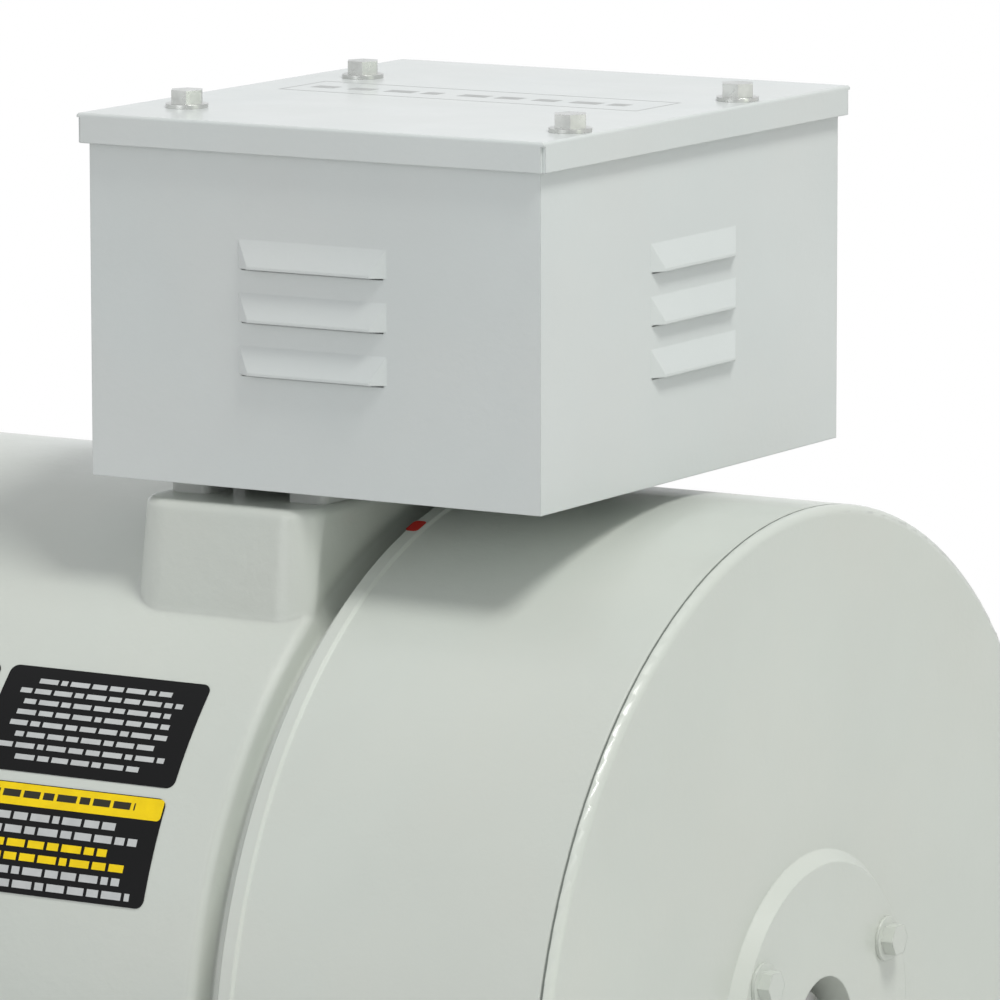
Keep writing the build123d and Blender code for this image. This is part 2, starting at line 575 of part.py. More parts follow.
exciter_screw = hex_bolt(TIE_R, 7.4, 5.0, EXCITER_LENGTH + 18.0, 7.9)
with BuildPart() as exciter_screws:
    with Locations(*around(looking_front(EXCITER_X), PILLAR_PITCH_R, PILLARS, 45.0)):
        add(exciter_screw)
exciter_screws.part.label = "exciter_screws"
export_step(exciter_screws.part, "parts/exciter_screws.step")

# ---- Rotor ----------------------------------------------------------------------------------
STUB_END_X = SHOULDER_X - STUB_LENGTH
with BuildPart() as shaft:
    shaft_profile = turned([
        (STUB_END_X, 0), (STUB_END_X, STUB_R - 1.5), (STUB_END_X + 1.5, STUB_R), (SHOULDER_X, STUB_R),
        (SHOULDER_X, FRONT_SEAT_R), (FRONT_POCKET_X, FRONT_SEAT_R), (FRONT_POCKET_X, FRONT_COLLAR_R),
        (FAN_X - 8.0, FRONT_COLLAR_R), (FAN_X - 8.0, ROTOR_SEAT_R), (EXCITER_X - 20.0, ROTOR_SEAT_R),
        (EXCITER_X - 20.0, EXCITER_SEAT_R), (RECTIFIER_X + 14.0, EXCITER_SEAT_R),
        (RECTIFIER_X + 14.0, REAR_COLLAR_R), (REAR_BEARING_X, REAR_COLLAR_R),
        (REAR_BEARING_X, REAR_SEAT_R), (REAR_POCKET_X, REAR_SEAT_R), (REAR_POCKET_X, SHAFT_TIP_R),
        (SHAFT_REAR_X - 1.5, SHAFT_TIP_R), (SHAFT_REAR_X, SHAFT_TIP_R - 1.5), (SHAFT_REAR_X, 0),
    ])
    revolve(shaft_profile, axis=SHAFT_AXIS)
    with BuildSketch(Plane.XY.offset(SHAFT_HEIGHT + STUB_R)):
        with Locations((STUB_END_X + KEYWAY_LENGTH / 2 + 8.0, 0)):
            SlotOverall(KEYWAY_LENGTH, KEYWAY_WIDTH)
    extrude(amount=-KEYWAY_DEPTH, mode=Mode.SUBTRACT)
    with Locations(looking_front(STUB_END_X).location):
        CounterSinkHole(CENTRE_HOLE_R * 0.8, CENTRE_HOLE_R * 1.3, CENTRE_HOLE_DEPTH)
shaft.part.label = "shaft"
export_step(shaft.part, "parts/shaft.step")

ROTOR_R = STATOR_BORE_R - AIR_GAP
POLES = 4
SHOE_INNER_R = ROTOR_R - POLE_SHOE_DEPTH - 5.0
with BuildPart() as rotor_core:
    with BuildSketch(across(CORE_FRONT_X)):
        with PolarLocations(ROTOR_R / 2, POLES):
            Rectangle(ROTOR_R, POLE_BODY_WIDTH)
        with PolarLocations((SHOE_INNER_R + ROTOR_R) / 2, POLES):
            Rectangle(ROTOR_R - SHOE_INNER_R, POLE_SHOE_WIDTH)
        Circle(ROTOR_SEAT_R + 7.0)
        Circle(ROTOR_R, mode=Mode.INTERSECT)
        Circle(ROTOR_SEAT_R + FIT_GAP / 2, mode=Mode.SUBTRACT)
    extrude(amount=STATOR_LENGTH)
rotor_core.part.label = "rotor_core"
export_step(rotor_core.part, "parts/rotor_core.step")

with BuildPart() as rotor_coils:
    for number in range(POLES):
        angle = radians(360.0 * number / POLES)
        outward = (0, cos(angle), sin(angle))
        middle = ((CORE_FRONT_X + CORE_REAR_X) / 2, 0, SHAFT_HEIGHT)
        base = Plane(origin=middle, x_dir=(1, 0, 0), z_dir=outward).offset(SHOE_INNER_R - 0.5)
        with BuildSketch(base):
            RectangleRounded(
                STATOR_LENGTH + 2 * ROTOR_COIL_WIDTH, POLE_BODY_WIDTH + 2 * ROTOR_COIL_WIDTH,
                ROTOR_COIL_WIDTH - 1.0,
            )
            Rectangle(
                STATOR_LENGTH + 2 * JOINT_GAP, POLE_BODY_WIDTH + 2 * JOINT_GAP, mode=Mode.SUBTRACT,
            )
        extrude(amount=-ROTOR_COIL_HEIGHT)
rotor_coils.part.label = "rotor_coils"
export_step(rotor_coils.part, "parts/rotor_coils.step")

with BuildPart() as cooling_fan:
    revolve(ring(FAN_X, FAN_WIDTH * 0.7, ROTOR_SEAT_R + FIT_GAP / 2, FAN_HUB_R), axis=SHAFT_AXIS)
    revolve(ring(FAN_X, FAN_PLATE, FAN_HUB_R - 1.0, FAN_R), axis=SHAFT_AXIS)
    with BuildSketch(across(FAN_X)):
        with PolarLocations(FAN_R * 0.78, FAN_BLADES):
            Rectangle(FAN_R * 0.4, FAN_PLATE, rotation=18.0)
    extrude(amount=FAN_WIDTH)
cooling_fan.part.label = "cooling_fan"
export_step(cooling_fan.part, "parts/cooling_fan.step")

ARMATURE_R = EXCITER_BORE_R - AIR_GAP
ARMATURE_SLOT_R = ARMATURE_R - 13.0
with BuildPart() as exciter_armature:
    with BuildSketch(across(EXCITER_X)):
        Circle(ARMATURE_R)
        Circle(EXCITER_SEAT_R + FIT_GAP / 2, mode=Mode.SUBTRACT)
        with PolarLocations(ARMATURE_R - 5.0, ARMATURE_SLOTS):
            Rectangle(16.0, 5.0, mode=Mode.SUBTRACT)
    extrude(amount=EXCITER_LENGTH)
exciter_armature.part.label = "exciter_armature"
export_step(exciter_armature.part, "parts/exciter_armature.step")

with BuildPart() as armature_coils:
    with BuildSketch(across(EXCITER_X)):
        with PolarLocations(ARMATURE_R - 7.0, ARMATURE_SLOTS):
            Rectangle(11.0, 5.0 - 2 * JOINT_GAP)
    extrude(amount=EXCITER_LENGTH)
    for start_x in (EXCITER_X - 8.0, EXCITER_X + EXCITER_LENGTH):
        revolve(ring(start_x, 8.0, ARMATURE_R - 12.0, ARMATURE_R - 2.0), axis=SHAFT_AXIS)
armature_coils.part.label = "armature_coils"
export_step(armature_coils.part, "parts/armature_coils.step")

with BuildPart() as rectifier_plate:
    revolve(
        ring(RECTIFIER_X, RECTIFIER_THICKNESS, EXCITER_SEAT_R + FIT_GAP / 2, RECTIFIER_R),
        axis=SHAFT_AXIS,
    )
rectifier_plate.part.label = "rectifier_plate"
export_step(rectifier_plate.part, "parts/rectifier_plate.step")

with BuildPart() as rectifier_diodes:
    diode_face = across(RECTIFIER_X + RECTIFIER_THICKNESS)
    with BuildSketch(diode_face):
        with PolarLocations(DIODE_PITCH_R, DIODES):
            RegularPolygon(8.0, 6)
    extrude(amount=4.0)
    with BuildSketch(diode_face.offset(4.0)):
        with PolarLocations(DIODE_PITCH_R, DIODES):
            Circle(6.0)
    extrude(amount=6.0)
rectifier_diodes.part.label = "rectifier_diodes"
export_step(rectifier_diodes.part, "parts/rectifier_diodes.step")

# ---- Bearings -------------------------------------------------------------------------------
BEARINGS = (
    ("drive", FRONT_BEARING_X, FRONT_BEARING_WIDTH, FRONT_SEAT_R, FRONT_BEARING_R, FRONT_BALL_R),
    ("rear", REAR_BEARING_X, REAR_BEARING_WIDTH, REAR_SEAT_R, REAR_BEARING_R, REAR_BALL_R),
)
for end, start_x, width, bore_r, outer_r, ball_r in BEARINGS:
    pitch_r = (bore_r + outer_r) / 2
    middle_x = start_x + width / 2
    races = (
        (f"{end}_bearing_outer_ring", 1, outer_r),
        (f"{end}_bearing_inner_ring", -1, bore_r + FIT_GAP / 2),
    )
    for name, side, back_r in races:
        groove_r = pitch_r + side * (ball_r + RACE_GAP)
        shoulder_r = pitch_r + side * 0.73 * ball_r
        with BuildPart() as race:
            race_profile = turned([
                (start_x, back_r), (start_x + width, back_r), (start_x + width, shoulder_r),
                (middle_x + 0.8 * ball_r, shoulder_r), (middle_x + 0.32 * ball_r, groove_r),
                (middle_x - 0.32 * ball_r, groove_r), (middle_x - 0.8 * ball_r, shoulder_r),
                (start_x, shoulder_r),
            ])
            revolve(race_profile, axis=SHAFT_AXIS)
        race.part.label = name
        export_step(race.part, f"parts/{name}.step")
    with BuildPart() as balls:
        with Locations(*around(across(middle_x), pitch_r, BALLS, 0.0)):
            Sphere(ball_r)
    balls.part.label = f"{end}_bearing_balls"
    export_step(balls.part, f"parts/{end}_bearing_balls.step")
    with BuildPart() as cage:
        cage_width = 2 * ball_r + 3.0
        revolve(
            ring(middle_x - cage_width / 2, cage_width, pitch_r - CAGE_THICKNESS / 2,
                 pitch_r + CAGE_THICKNESS / 2),
            axis=SHAFT_AXIS,
        )
        for number in range(BALLS):
            angle = radians(360.0 * number / BALLS)
            pocket = Plane(
                origin=(middle_x, 0, SHAFT_HEIGHT), x_dir=(1, 0, 0), z_dir=(0, cos(angle), sin(angle)),
            )
            with BuildSketch(pocket):
                Circle(ball_r + JOINT_GAP)
            extrude(amount=outer_r, mode=Mode.SUBTRACT)
    cage.part.label = f"{end}_bearing_cage"
    export_step(cage.part, f"parts/{end}_bearing_cage.step")

# ---- Terminal box ---------------------------------------------------------------------------
LID_SCREW_PLACES = [(x, y) for x in (LID_SCREW_LEFT_X, LID_SCREW_RIGHT_X) for y in LID_SCREW_Y]
BOX_LEFT_X = BOX_X - BOX_LENGTH / 2
BOX_FLOOR_Z = BOX_BOTTOM_Z + SHEET
# each wall's middle, how far it is turned from the +Y wall, and its lowest slit
WALLS = (
    (BOX_X, -BOX_WIDTH / 2, 180.0, LOUVRE_FIRST_SIDE),
    (BOX_X, BOX_WIDTH / 2, 0.0, LOUVRE_FIRST_SIDE),
    (BOX_X + BOX_LENGTH / 2, 0, -90.0, LOUVRE_FIRST_END),
    (BOX_LEFT_X, 0, 90.0, LOUVRE_FIRST_END),
)


def louvre(inset, foot):
    """A louvre's bulge on a wall that faces +Y; inset is how far it lies inside the outer skin."""
    half = LOUVRE_LENGTH / 2 - inset
    rise = LOUVRE_RISE - inset
    height = LOUVRE_HEIGHT - inset
    with BuildPart() as bulge:
        with BuildSketch(Plane.XY.offset(foot)):
            with BuildLine():
                Polyline(
                    (-half, -SHEET + foot), (half, -SHEET + foot), (half, 0),
                    (half - LOUVRE_TAPER, rise), (LOUVRE_TAPER - half, rise), (-half, 0), close=True,
                )
            make_face()
        extrude(amount=height - foot)
        with BuildSketch(Plane.YZ):
            with BuildLine():
                Polyline(
                    (0, height), (rise, LOUVRE_LIP), (LOUVRE_RISE + 1.0, LOUVRE_LIP),
                    (LOUVRE_RISE + 1.0, LOUVRE_HEIGHT + 1.0), (0, LOUVRE_HEIGHT + 1.0), close=True,
                )
            make_face()
        extrude(amount=LOUVRE_LENGTH, both=True, mode=Mode.SUBTRACT)
    return bulge.part


louvre_hood = louvre(0.0, 0.0)
louvre_hollow = louvre(SHEET * 0.8, -0.5)
with BuildPart() as terminal_box:
    with BuildSketch(Plane.XY.offset(BOX_BOTTOM_Z)):
        with Locations((BOX_X, 0)):
            Rectangle(BOX_LENGTH, BOX_WIDTH)
    extrude(amount=BOX_TOP_Z - BOX_BOTTOM_Z)
    with BuildSketch(Plane.XY.offset(BOX_FLOOR_Z)):
        with Locations((BOX_X, 0)):
            Rectangle(BOX_LENGTH - 2 * SHEET, BOX_WIDTH - 2 * SHEET)
    extrude(amount=BOX_TOP_Z - BOX_FLOOR_Z - SHEET, mode=Mode.SUBTRACT)
    with BuildSketch(Plane.XY.offset(BOX_TOP_Z)):
        with Locations((BOX_X, 0)):
            RectangleRounded(BOX_LENGTH - 2 * FLANGE_X, BOX_WIDTH - 2 * FLANGE_Y, 4.0)
    extrude(amount=-SHEET, mode=Mode.SUBTRACT)
    with Locations(*[(x, y, BOX_TOP_Z) for x, y in LID_SCREW_PLACES]):
        Hole(LID_SCREW_R + FIT_GAP, depth=SHEET + 1.0)
    with Locations((PEDESTAL_X, 0, BOX_FLOOR_Z)):
        with GridLocations(BOX_SCREW_SPACING_X, BOX_SCREW_SPACING_Y, 2, 2):
            Hole(LID_SCREW_R + HOLE_GAP, depth=SHEET + 1.0)
    with BuildSketch(Plane.XY.offset(BOX_FLOOR_Z)):
        with Locations((PEDESTAL_X, 0)):
            Rectangle(LEAD_HOLE_X, LEAD_HOLE_Y)
    extrude(amount=-SHEET - 1.0, mode=Mode.SUBTRACT)
    # pressed louvres: a hood over a slit that opens downwards
    for wall_x, wall_y, turn, first in WALLS:
        levels = [BOX_BOTTOM_Z + first + number * LOUVRE_PITCH for number in range(LOUVRES)]
        with Locations(*[Location((wall_x, wall_y, level), (0, 0, turn)) for level in levels]):
            add(louvre_hood)
            add(louvre_hollow, mode=Mode.SUBTRACT)
    with BuildSketch(Plane.YZ.offset(BOX_LEFT_X)):
        with Locations((GLAND_Y, BOX_BOTTOM_Z + GLAND_Z)):
            Rectangle(GLAND_CUT, GLAND_CUT)
    extrude(amount=SHEET, mode=Mode.SUBTRACT)
    with Locations(Location((BOX_LEFT_X, GLAND_Y, BOX_BOTTOM_Z + GLAND_Z), (0, -90, 0))):
        with GridLocations(GLAND_PLATE - 10.0, GLAND_PLATE - 10.0, 2, 2):
            Hole(2.0 + FIT_GAP, depth=SHEET)
terminal_box.part.label = "terminal_box"
export_step(terminal_box.part, "parts/terminal_box.step")

with BuildPart() as terminal_box_lid:
    with BuildSketch(Plane.XY.offset(LID_TOP_Z)):
        with Locations((BOX_X, 0)):
            Rectangle(BOX_LENGTH + 2 * LID_OVERHANG, BOX_WIDTH + 2 * LID_OVERHANG)
    extrude(amount=-LID_SKIRT)
    with BuildSketch(Plane.XY.offset(LID_TOP_Z - SHEET)):
        with Locations((BOX_X, 0)):
            Rectangle(
                BOX_LENGTH + 2 * (LID_OVERHANG - SHEET), BOX_WIDTH + 2 * (LID_OVERHANG - SHEET),
            )
            with GridLocations(BOX_LENGTH + 2 * LID_OVERHANG, BOX_WIDTH + 2 * LID_OVERHANG, 2, 2):
                Rectangle(2 * LID_CORNER_SLIT, 2 * LID_CORNER_SLIT)
    extrude(amount=-LID_SKIRT, mode=Mode.SUBTRACT)
    fillet(terminal_box_lid.faces().sort_by(Axis.Z)[-1].edges(), radius=1.0)
    with Locations(*[(x, y, LID_TOP_Z) for x, y in LID_SCREW_PLACES]):
        Hole(LID_SCREW_R + HOLE_GAP, depth=SHEET + 1.0)
terminal_box_lid.part.label = "terminal_box_lid"
export_step(terminal_box_lid.part, "parts/terminal_box_lid.step")

with BuildPart() as lid_gasket:
    with BuildSketch(Plane.XY.offset(BOX_TOP_Z)):
        with Locations((BOX_X, 0)):
            Rectangle(BOX_LENGTH - 2.0, BOX_WIDTH - 2.0)
            RectangleRounded(
                BOX_LENGTH - 2 * FLANGE_X, BOX_WIDTH - 2 * FLANGE_Y, 4.0, mode=Mode.SUBTRACT,
            )
        with Locations(*LID_SCREW_PLACES):
            Circle(LID_SCREW_R + HOLE_GAP, mode=Mode.SUBTRACT)
    extrude(amount=GASKET)
lid_gasket.part.label = "lid_gasket"
export_step(lid_gasket.part, "parts/lid_gasket.step")

lid_screw = hex_bolt(LID_SCREW_R, 5.8, 4.6, 18.0, LID_WASHER_R)
with BuildPart() as lid_screws:
    with Locations(*[(x, y, LID_TOP_Z) for x, y in LID_SCREW_PLACES]):
        add(lid_screw)
lid_screws.part.label = "lid_screws"
export_step(lid_screws.part, "parts/lid_screws.step")

with BuildPart() as box_spacers:
    with BuildSketch(Plane.XY.offset(PEDESTAL_TOP_Z)):
        with Locations((PEDESTAL_X, 0)):
            with GridLocations(BOX_SCREW_SPACING_X, BOX_SCREW_SPACING_Y, 2, 2):
                RectangleRounded(15.0, 18.0, 3.0)
                Circle(LID_SCREW_R + HOLE_GAP, mode=Mode.SUBTRACT)
    extrude(amount=BOX_BOTTOM_Z - PEDESTAL_TOP_Z)
box_spacers.part.label = "box_spacers"
export_step(box_spacers.part, "parts/box_spacers.step")

box_screw = hex_bolt(LID_SCREW_R, 5.6, 4.2, BOX_FLOOR_Z - PEDESTAL_TOP_Z + 12.0, 6.8)
with BuildPart() as box_screws:
    with Locations((PEDESTAL_X, 0, BOX_FLOOR_Z)):
        with GridLocations(BOX_SCREW_SPACING_X, BOX_SCREW_SPACING_Y, 2, 2):
            add(box_screw)
box_screws.part.label = "box_screws"
export_step(box_screws.part, "parts/box_screws.step")

with BuildPart() as lead_grommet:
    with BuildSketch(Plane.XY.offset(PEDESTAL_TOP_Z - 3.0)):
        with Locations((PEDESTAL_X, 0)):
            Rectangle(LEAD_HOLE_X - JOINT_GAP, LEAD_HOLE_Y - JOINT_GAP)
    extrude(amount=BOX_FLOOR_Z - PEDESTAL_TOP_Z + 3.0)
    with BuildSketch(Plane.XY.offset(BOX_FLOOR_Z)):
        with Locations((PEDESTAL_X, 0)):
            RectangleRounded(LEAD_HOLE_X + 6.0, LEAD_HOLE_Y + 8.0, 4.0)
    extrude(amount=3.0)
    with BuildSketch(Plane.XY.offset(BOX_FLOOR_Z + 3.0)):
        with Locations((PEDESTAL_X, 0)):
            RectangleRounded(LEAD_HOLE_X - 6.0, LEAD_HOLE_Y - 6.0, 3.0)
    extrude(amount=-20.0, mode=Mode.SUBTRACT)
lead_grommet.part.label = "lead_grommet"
export_step(lead_grommet.part, "parts/lead_grommet.step")

# ---- Inside the terminal box ----------------------------------------------------------------
BOARD_X = 196.0
BOARD_Z = BOX_FLOOR_Z + 26.0
BOARD_Y = -26.0
BOARD_LENGTH = 112.0
STUD_PITCH = 26.0
BOARD_WIDTH = 44.0
BOARD_THICKNESS = 9.0
STUDS_Y = [BOARD_Y + STUD_PITCH * (number - 1.5) for number in range(4)]
STUD_R = 4.0
LEAD_R = 4.0
LEAD_BEND = 12.0
BOARD_TOP_Z = BOARD_Z + BOARD_THICKNESS
with BuildPart() as terminal_board:
    with BuildSketch(Plane.XY.offset(BOARD_Z)):
        with Locations((BOARD_X, BOARD_Y)):
            RectangleRounded(BOARD_WIDTH, BOARD_LENGTH, 5.0)
    extrude(amount=BOARD_THICKNESS)
    # barriers between the terminals and the legs that lift the board off the floor
    with BuildSketch(Plane.XY.offset(BOARD_TOP_Z)):
        with Locations((BOARD_X, BOARD_Y)):
            with GridLocations(1, STUD_PITCH, 1, 3):
                Rectangle(BOARD_WIDTH, 3.0)
    extrude(amount=12.0)
    with BuildSketch(Plane.XY.offset(BOX_FLOOR_Z)):
        with Locations((BOARD_X, BOARD_Y)):
            with GridLocations(1, BOARD_LENGTH - 7.0, 1, 2):
                Rectangle(BOARD_WIDTH - 10.0, 7.0)
    extrude(amount=BOARD_Z - BOX_FLOOR_Z)
    with Locations(*[(BOARD_X, y, BOARD_TOP_Z) for y in STUDS_Y]):
        Hole(STUD_R + FIT_GAP, depth=BOARD_THICKNESS)
terminal_board.part.label = "terminal_board"
export_step(terminal_board.part, "parts/terminal_board.step")

with BuildPart() as terminal_studs:
    for stud_y in STUDS_Y:
        with BuildSketch(Plane.XY.offset(BOARD_Z)):
            with Locations((BOARD_X, stud_y)):
                Circle(STUD_R)
        extrude(amount=BOARD_THICKNESS + 26.0)
        with BuildSketch(Plane.XY.offset(BOARD_Z)):
            with Locations((BOARD_X, stud_y)):
                RegularPolygon(7.4, 6)
        extrude(amount=-5.0)
terminal_studs.part.label = "terminal_studs"
export_step(terminal_studs.part, "parts/terminal_studs.step")

LUG = 2.0
with BuildPart() as terminal_nuts:
    with BuildSketch(Plane.XY.offset(BOARD_TOP_Z + LUG)):
        with Locations(*[(BOARD_X, y) for y in STUDS_Y]):
            RegularPolygon(7.4, 6)
            Circle(STUD_R + FIT_GAP, mode=Mode.SUBTRACT)
    extrude(amount=6.5)
terminal_nuts.part.label = "terminal_nuts"
export_step(terminal_nuts.part, "parts/terminal_nuts.step")

with BuildPart() as lead_lugs:
    with BuildSketch(Plane.XY.offset(BOARD_TOP_Z)):
        with Locations(*[(BOARD_X, y) for y in STUDS_Y]):
            Circle(8.0)
        with Locations(*[(BOARD_X - 11.0, y) for y in STUDS_Y]):
            Rectangle(16.0, 9.0)
        with Locations(*[(BOARD_X, y) for y in STUDS_Y]):
            Circle(STUD_R + FIT_GAP, mode=Mode.SUBTRACT)
    extrude(amount=LUG)
    for stud_y in STUDS_Y:
        with BuildSketch(Plane.YZ.offset(BOARD_X - 19.0)):
            with Locations((stud_y, BOARD_TOP_Z + LUG + LEAD_R)):
                Circle(LEAD_R + 1.5)
        extrude(amount=-12.0)
        with BuildSketch(Plane.YZ.offset(BOARD_X - 19.0)):
            with Locations((stud_y, BOARD_TOP_Z + 3.5)):
                Rectangle(9.0, 7.0)
        extrude(amount=1.5)
lead_lugs.part.label = "lead_lugs"
export_step(lead_lugs.part, "parts/lead_lugs.step")

LUG_X = BOARD_X - 31.0
LEAD_SPREAD = 0.9           # pitch of the leads in the pedestal to that of the studs
LEAD_LEVEL = BOARD_TOP_Z + LUG + LEAD_R
WINDING_LEAD_X = CORE_REAR_X + COIL_OVERHANG - COIL_BEND / 2 - LEAD_R / 2
with BuildPart() as main_leads:
    for stud_y in STUDS_Y:
        lead_y = (stud_y - BOARD_Y) * LEAD_SPREAD
        start_z = SHAFT_HEIGHT + sqrt(WINDING_OUTER_R ** 2 - (abs(lead_y) - LEAD_R) ** 2) + 0.6
        with BuildLine() as route:
            FilletPolyline(
                (WINDING_LEAD_X, lead_y, start_z), (WINDING_LEAD_X, lead_y, LEAD_LEVEL - 8.0),
                (LUG_X - 26.0, stud_y, LEAD_LEVEL), (LUG_X, stud_y, LEAD_LEVEL), radius=LEAD_BEND,
            )
        with BuildSketch(Plane(origin=(WINDING_LEAD_X, lead_y, start_z), z_dir=(0, 0, 1))):
            Circle(LEAD_R)
        sweep(path=route.line)
main_leads.part.label = "main_leads"
export_step(main_leads.part, "parts/main_leads.step")

# voltage regulator: a potted tray on four posts behind the far wall, with a finned heat sink
REGULATOR_X = 182.0
REGULATOR_LENGTH = 104.0
REGULATOR_HEIGHT = 66.0
REGULATOR_DEPTH = 24.0
REGULATOR_Z = BOX_FLOOR_Z + 26.0
REGULATOR_Y = BOX_WIDTH / 2 - SHEET - 8.0
HEAT_SINK_DEPTH = 14.0
FINS = 7
with BuildPart() as regulator:
    with BuildSketch(Plane.XZ.offset(-REGULATOR_Y)):
        with Locations((REGULATOR_X, REGULATOR_Z + REGULATOR_HEIGHT / 2)):
            RectangleRounded(REGULATOR_LENGTH, REGULATOR_HEIGHT, 4.0)
    extrude(amount=REGULATOR_DEPTH)
    with BuildSketch(Plane.XZ.offset(-REGULATOR_Y)):
        with Locations((REGULATOR_X, REGULATOR_Z + REGULATOR_HEIGHT / 2)):
            with GridLocations(REGULATOR_LENGTH - 14.0, REGULATOR_HEIGHT - 14.0, 2, 2):
                Circle(4.0)
    extrude(amount=-8.0)
regulator.part.label = "regulator"
export_step(regulator.part, "parts/regulator.step")

with BuildPart() as regulator_heat_sink:
    sink_plane = Plane.XZ.offset(-REGULATOR_Y + REGULATOR_DEPTH)
    sink_z = REGULATOR_Z + REGULATOR_HEIGHT / 2
    with BuildSketch(sink_plane):
        with Locations((REGULATOR_X, sink_z)):
            Rectangle(REGULATOR_LENGTH * 0.5, REGULATOR_HEIGHT - 16.0)
    extrude(amount=3.0)
    with BuildSketch(sink_plane.offset(3.0)):
        with Locations((REGULATOR_X, sink_z)):
            with GridLocations((REGULATOR_LENGTH * 0.5 - 2.5) / (FINS - 1), 1, FINS, 1):
                Rectangle(2.5, REGULATOR_HEIGHT - 16.0)
    extrude(amount=HEAT_SINK_DEPTH)
regulator_heat_sink.part.label = "regulator_heat_sink"
export_step(regulator_heat_sink.part, "parts/regulator_heat_sink.step")

EARTH_INSET = 18.5
EARTH_X = BOX_X + BOX_LENGTH / 2 - EARTH_INSET
EARTH_Y = 19.0
with BuildPart() as earth_stud:
    with Locations((EARTH_X, EARTH_Y, BOX_FLOOR_Z)):
        Cylinder(8.2, 1.6, align=(Align.CENTER, Align.CENTER, Align.MIN))
        Cylinder(STUD_R, 26.0, align=(Align.CENTER, Align.CENTER, Align.MIN))
    with BuildSketch(Plane.XY.offset(BOX_FLOOR_Z + 1.6)):
        with Locations((EARTH_X, EARTH_Y)):
            RegularPolygon(7.4, 6)
    extrude(amount=6.5)
earth_stud.part.label = "earth_stud"
export_step(earth_stud.part, "parts/earth_stud.step")

# ---- Cable gland, on the wall that faces the drive end --------------------------------------
GLAND_LEVEL = BOX_BOTTOM_Z + GLAND_Z
GLAND_AXIS = Plane(origin=(BOX_LEFT_X, GLAND_Y, GLAND_LEVEL), x_dir=(0, 1, 0), z_dir=(-1, 0, 0))
PLATE_SCREW_PITCH = GLAND_PLATE - 10.0
with BuildPart() as gland_plate:
    with BuildSketch(GLAND_AXIS):
        RectangleRounded(GLAND_PLATE, GLAND_PLATE, 4.0)
        Circle(GLAND_THREAD_R + FIT_GAP, mode=Mode.SUBTRACT)
        with GridLocations(PLATE_SCREW_PITCH, PLATE_SCREW_PITCH, 2, 2):
            Circle(2.0 + HOLE_GAP, mode=Mode.SUBTRACT)
    extrude(amount=GLAND_PLATE_THICKNESS)
gland_plate.part.label = "gland_plate"
export_step(gland_plate.part, "parts/gland_plate.step")

plate_screw = socket_screw(2.0, 3.5, 3.0, GLAND_PLATE_THICKNESS + 8.0)
with BuildPart() as gland_plate_screws:
    with Locations(GLAND_AXIS.offset(GLAND_PLATE_THICKNESS).location):
        with GridLocations(PLATE_SCREW_PITCH, PLATE_SCREW_PITCH, 2, 2):
            add(plate_screw)
gland_plate_screws.part.label = "gland_plate_screws"
export_step(gland_plate_screws.part, "parts/gland_plate_screws.step")

with BuildPart() as cable_gland:
    with BuildSketch(GLAND_AXIS.offset(GLAND_PLATE_THICKNESS)):
        RegularPolygon(GLAND_THREAD_R + 5.0, 6)
    extrude(amount=9.0)
    with BuildSketch(GLAND_AXIS.offset(GLAND_PLATE_THICKNESS + 9.0)):
        Circle(GLAND_THREAD_R + 1.0)
    extrude(amount=16.0)
    fillet(cable_gland.edges().filter_by(GeomType.CIRCLE).sort_by(Axis.X)[0], radius=4.0)
    with BuildSketch(GLAND_AXIS.offset(GLAND_PLATE_THICKNESS)):
        Circle(GLAND_THREAD_R)
    extrude(amount=-GLAND_PLATE_THICKNESS - 10.0)
    with BuildSketch(GLAND_AXIS):
        RegularPolygon(GLAND_THREAD_R + 5.0, 6)
    extrude(amount=-5.0)
    with BuildSketch(GLAND_AXIS.offset(GLAND_PLATE_THICKNESS + 25.0)):
        Circle(GLAND_BORE_R)
    extrude(amount=-60.0, mode=Mode.SUBTRACT)
cable_gland.part.label = "cable_gland"
export_step(cable_gland.part, "parts/cable_gland.step")
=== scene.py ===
import json
import math

import bmesh
import bpy
from mathutils import Matrix, Vector


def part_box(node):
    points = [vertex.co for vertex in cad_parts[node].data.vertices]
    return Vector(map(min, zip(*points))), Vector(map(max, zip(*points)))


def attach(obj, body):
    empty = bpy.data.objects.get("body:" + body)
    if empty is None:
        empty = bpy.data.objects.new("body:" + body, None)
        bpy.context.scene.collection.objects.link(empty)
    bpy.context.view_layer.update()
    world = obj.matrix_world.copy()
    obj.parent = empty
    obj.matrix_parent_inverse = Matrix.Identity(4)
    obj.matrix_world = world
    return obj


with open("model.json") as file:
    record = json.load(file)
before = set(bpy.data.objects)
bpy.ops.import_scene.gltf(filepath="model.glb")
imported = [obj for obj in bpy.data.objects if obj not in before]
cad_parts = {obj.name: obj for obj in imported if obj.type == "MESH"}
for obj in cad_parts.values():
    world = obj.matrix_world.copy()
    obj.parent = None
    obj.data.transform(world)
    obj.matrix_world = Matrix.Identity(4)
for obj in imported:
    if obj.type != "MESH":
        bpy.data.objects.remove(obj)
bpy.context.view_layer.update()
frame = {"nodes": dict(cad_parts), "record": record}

# Lengths are in metres. Angles about the shaft are in degrees up from -Y, the near side.
MM = 0.001
SHAFT_Z = 0.180
FRAME_R = 0.1745
LID_TOP_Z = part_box("terminal_box_lid")[1][2]
HOUSING_LOW, HOUSING_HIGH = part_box("exciter_housing")

# ---- Node helpers ---------------------------------------------------------------------------
NOISE_LOW, NOISE_HIGH = 0.3, 0.7        # most of a noise texture lies between these
EDGE_MASK_STARTS, EDGE_MASK_FULL = 0.999, 0.90    # cosine of the angle from the true to the rounded normal
COAT_ROUGHNESS = 0.12


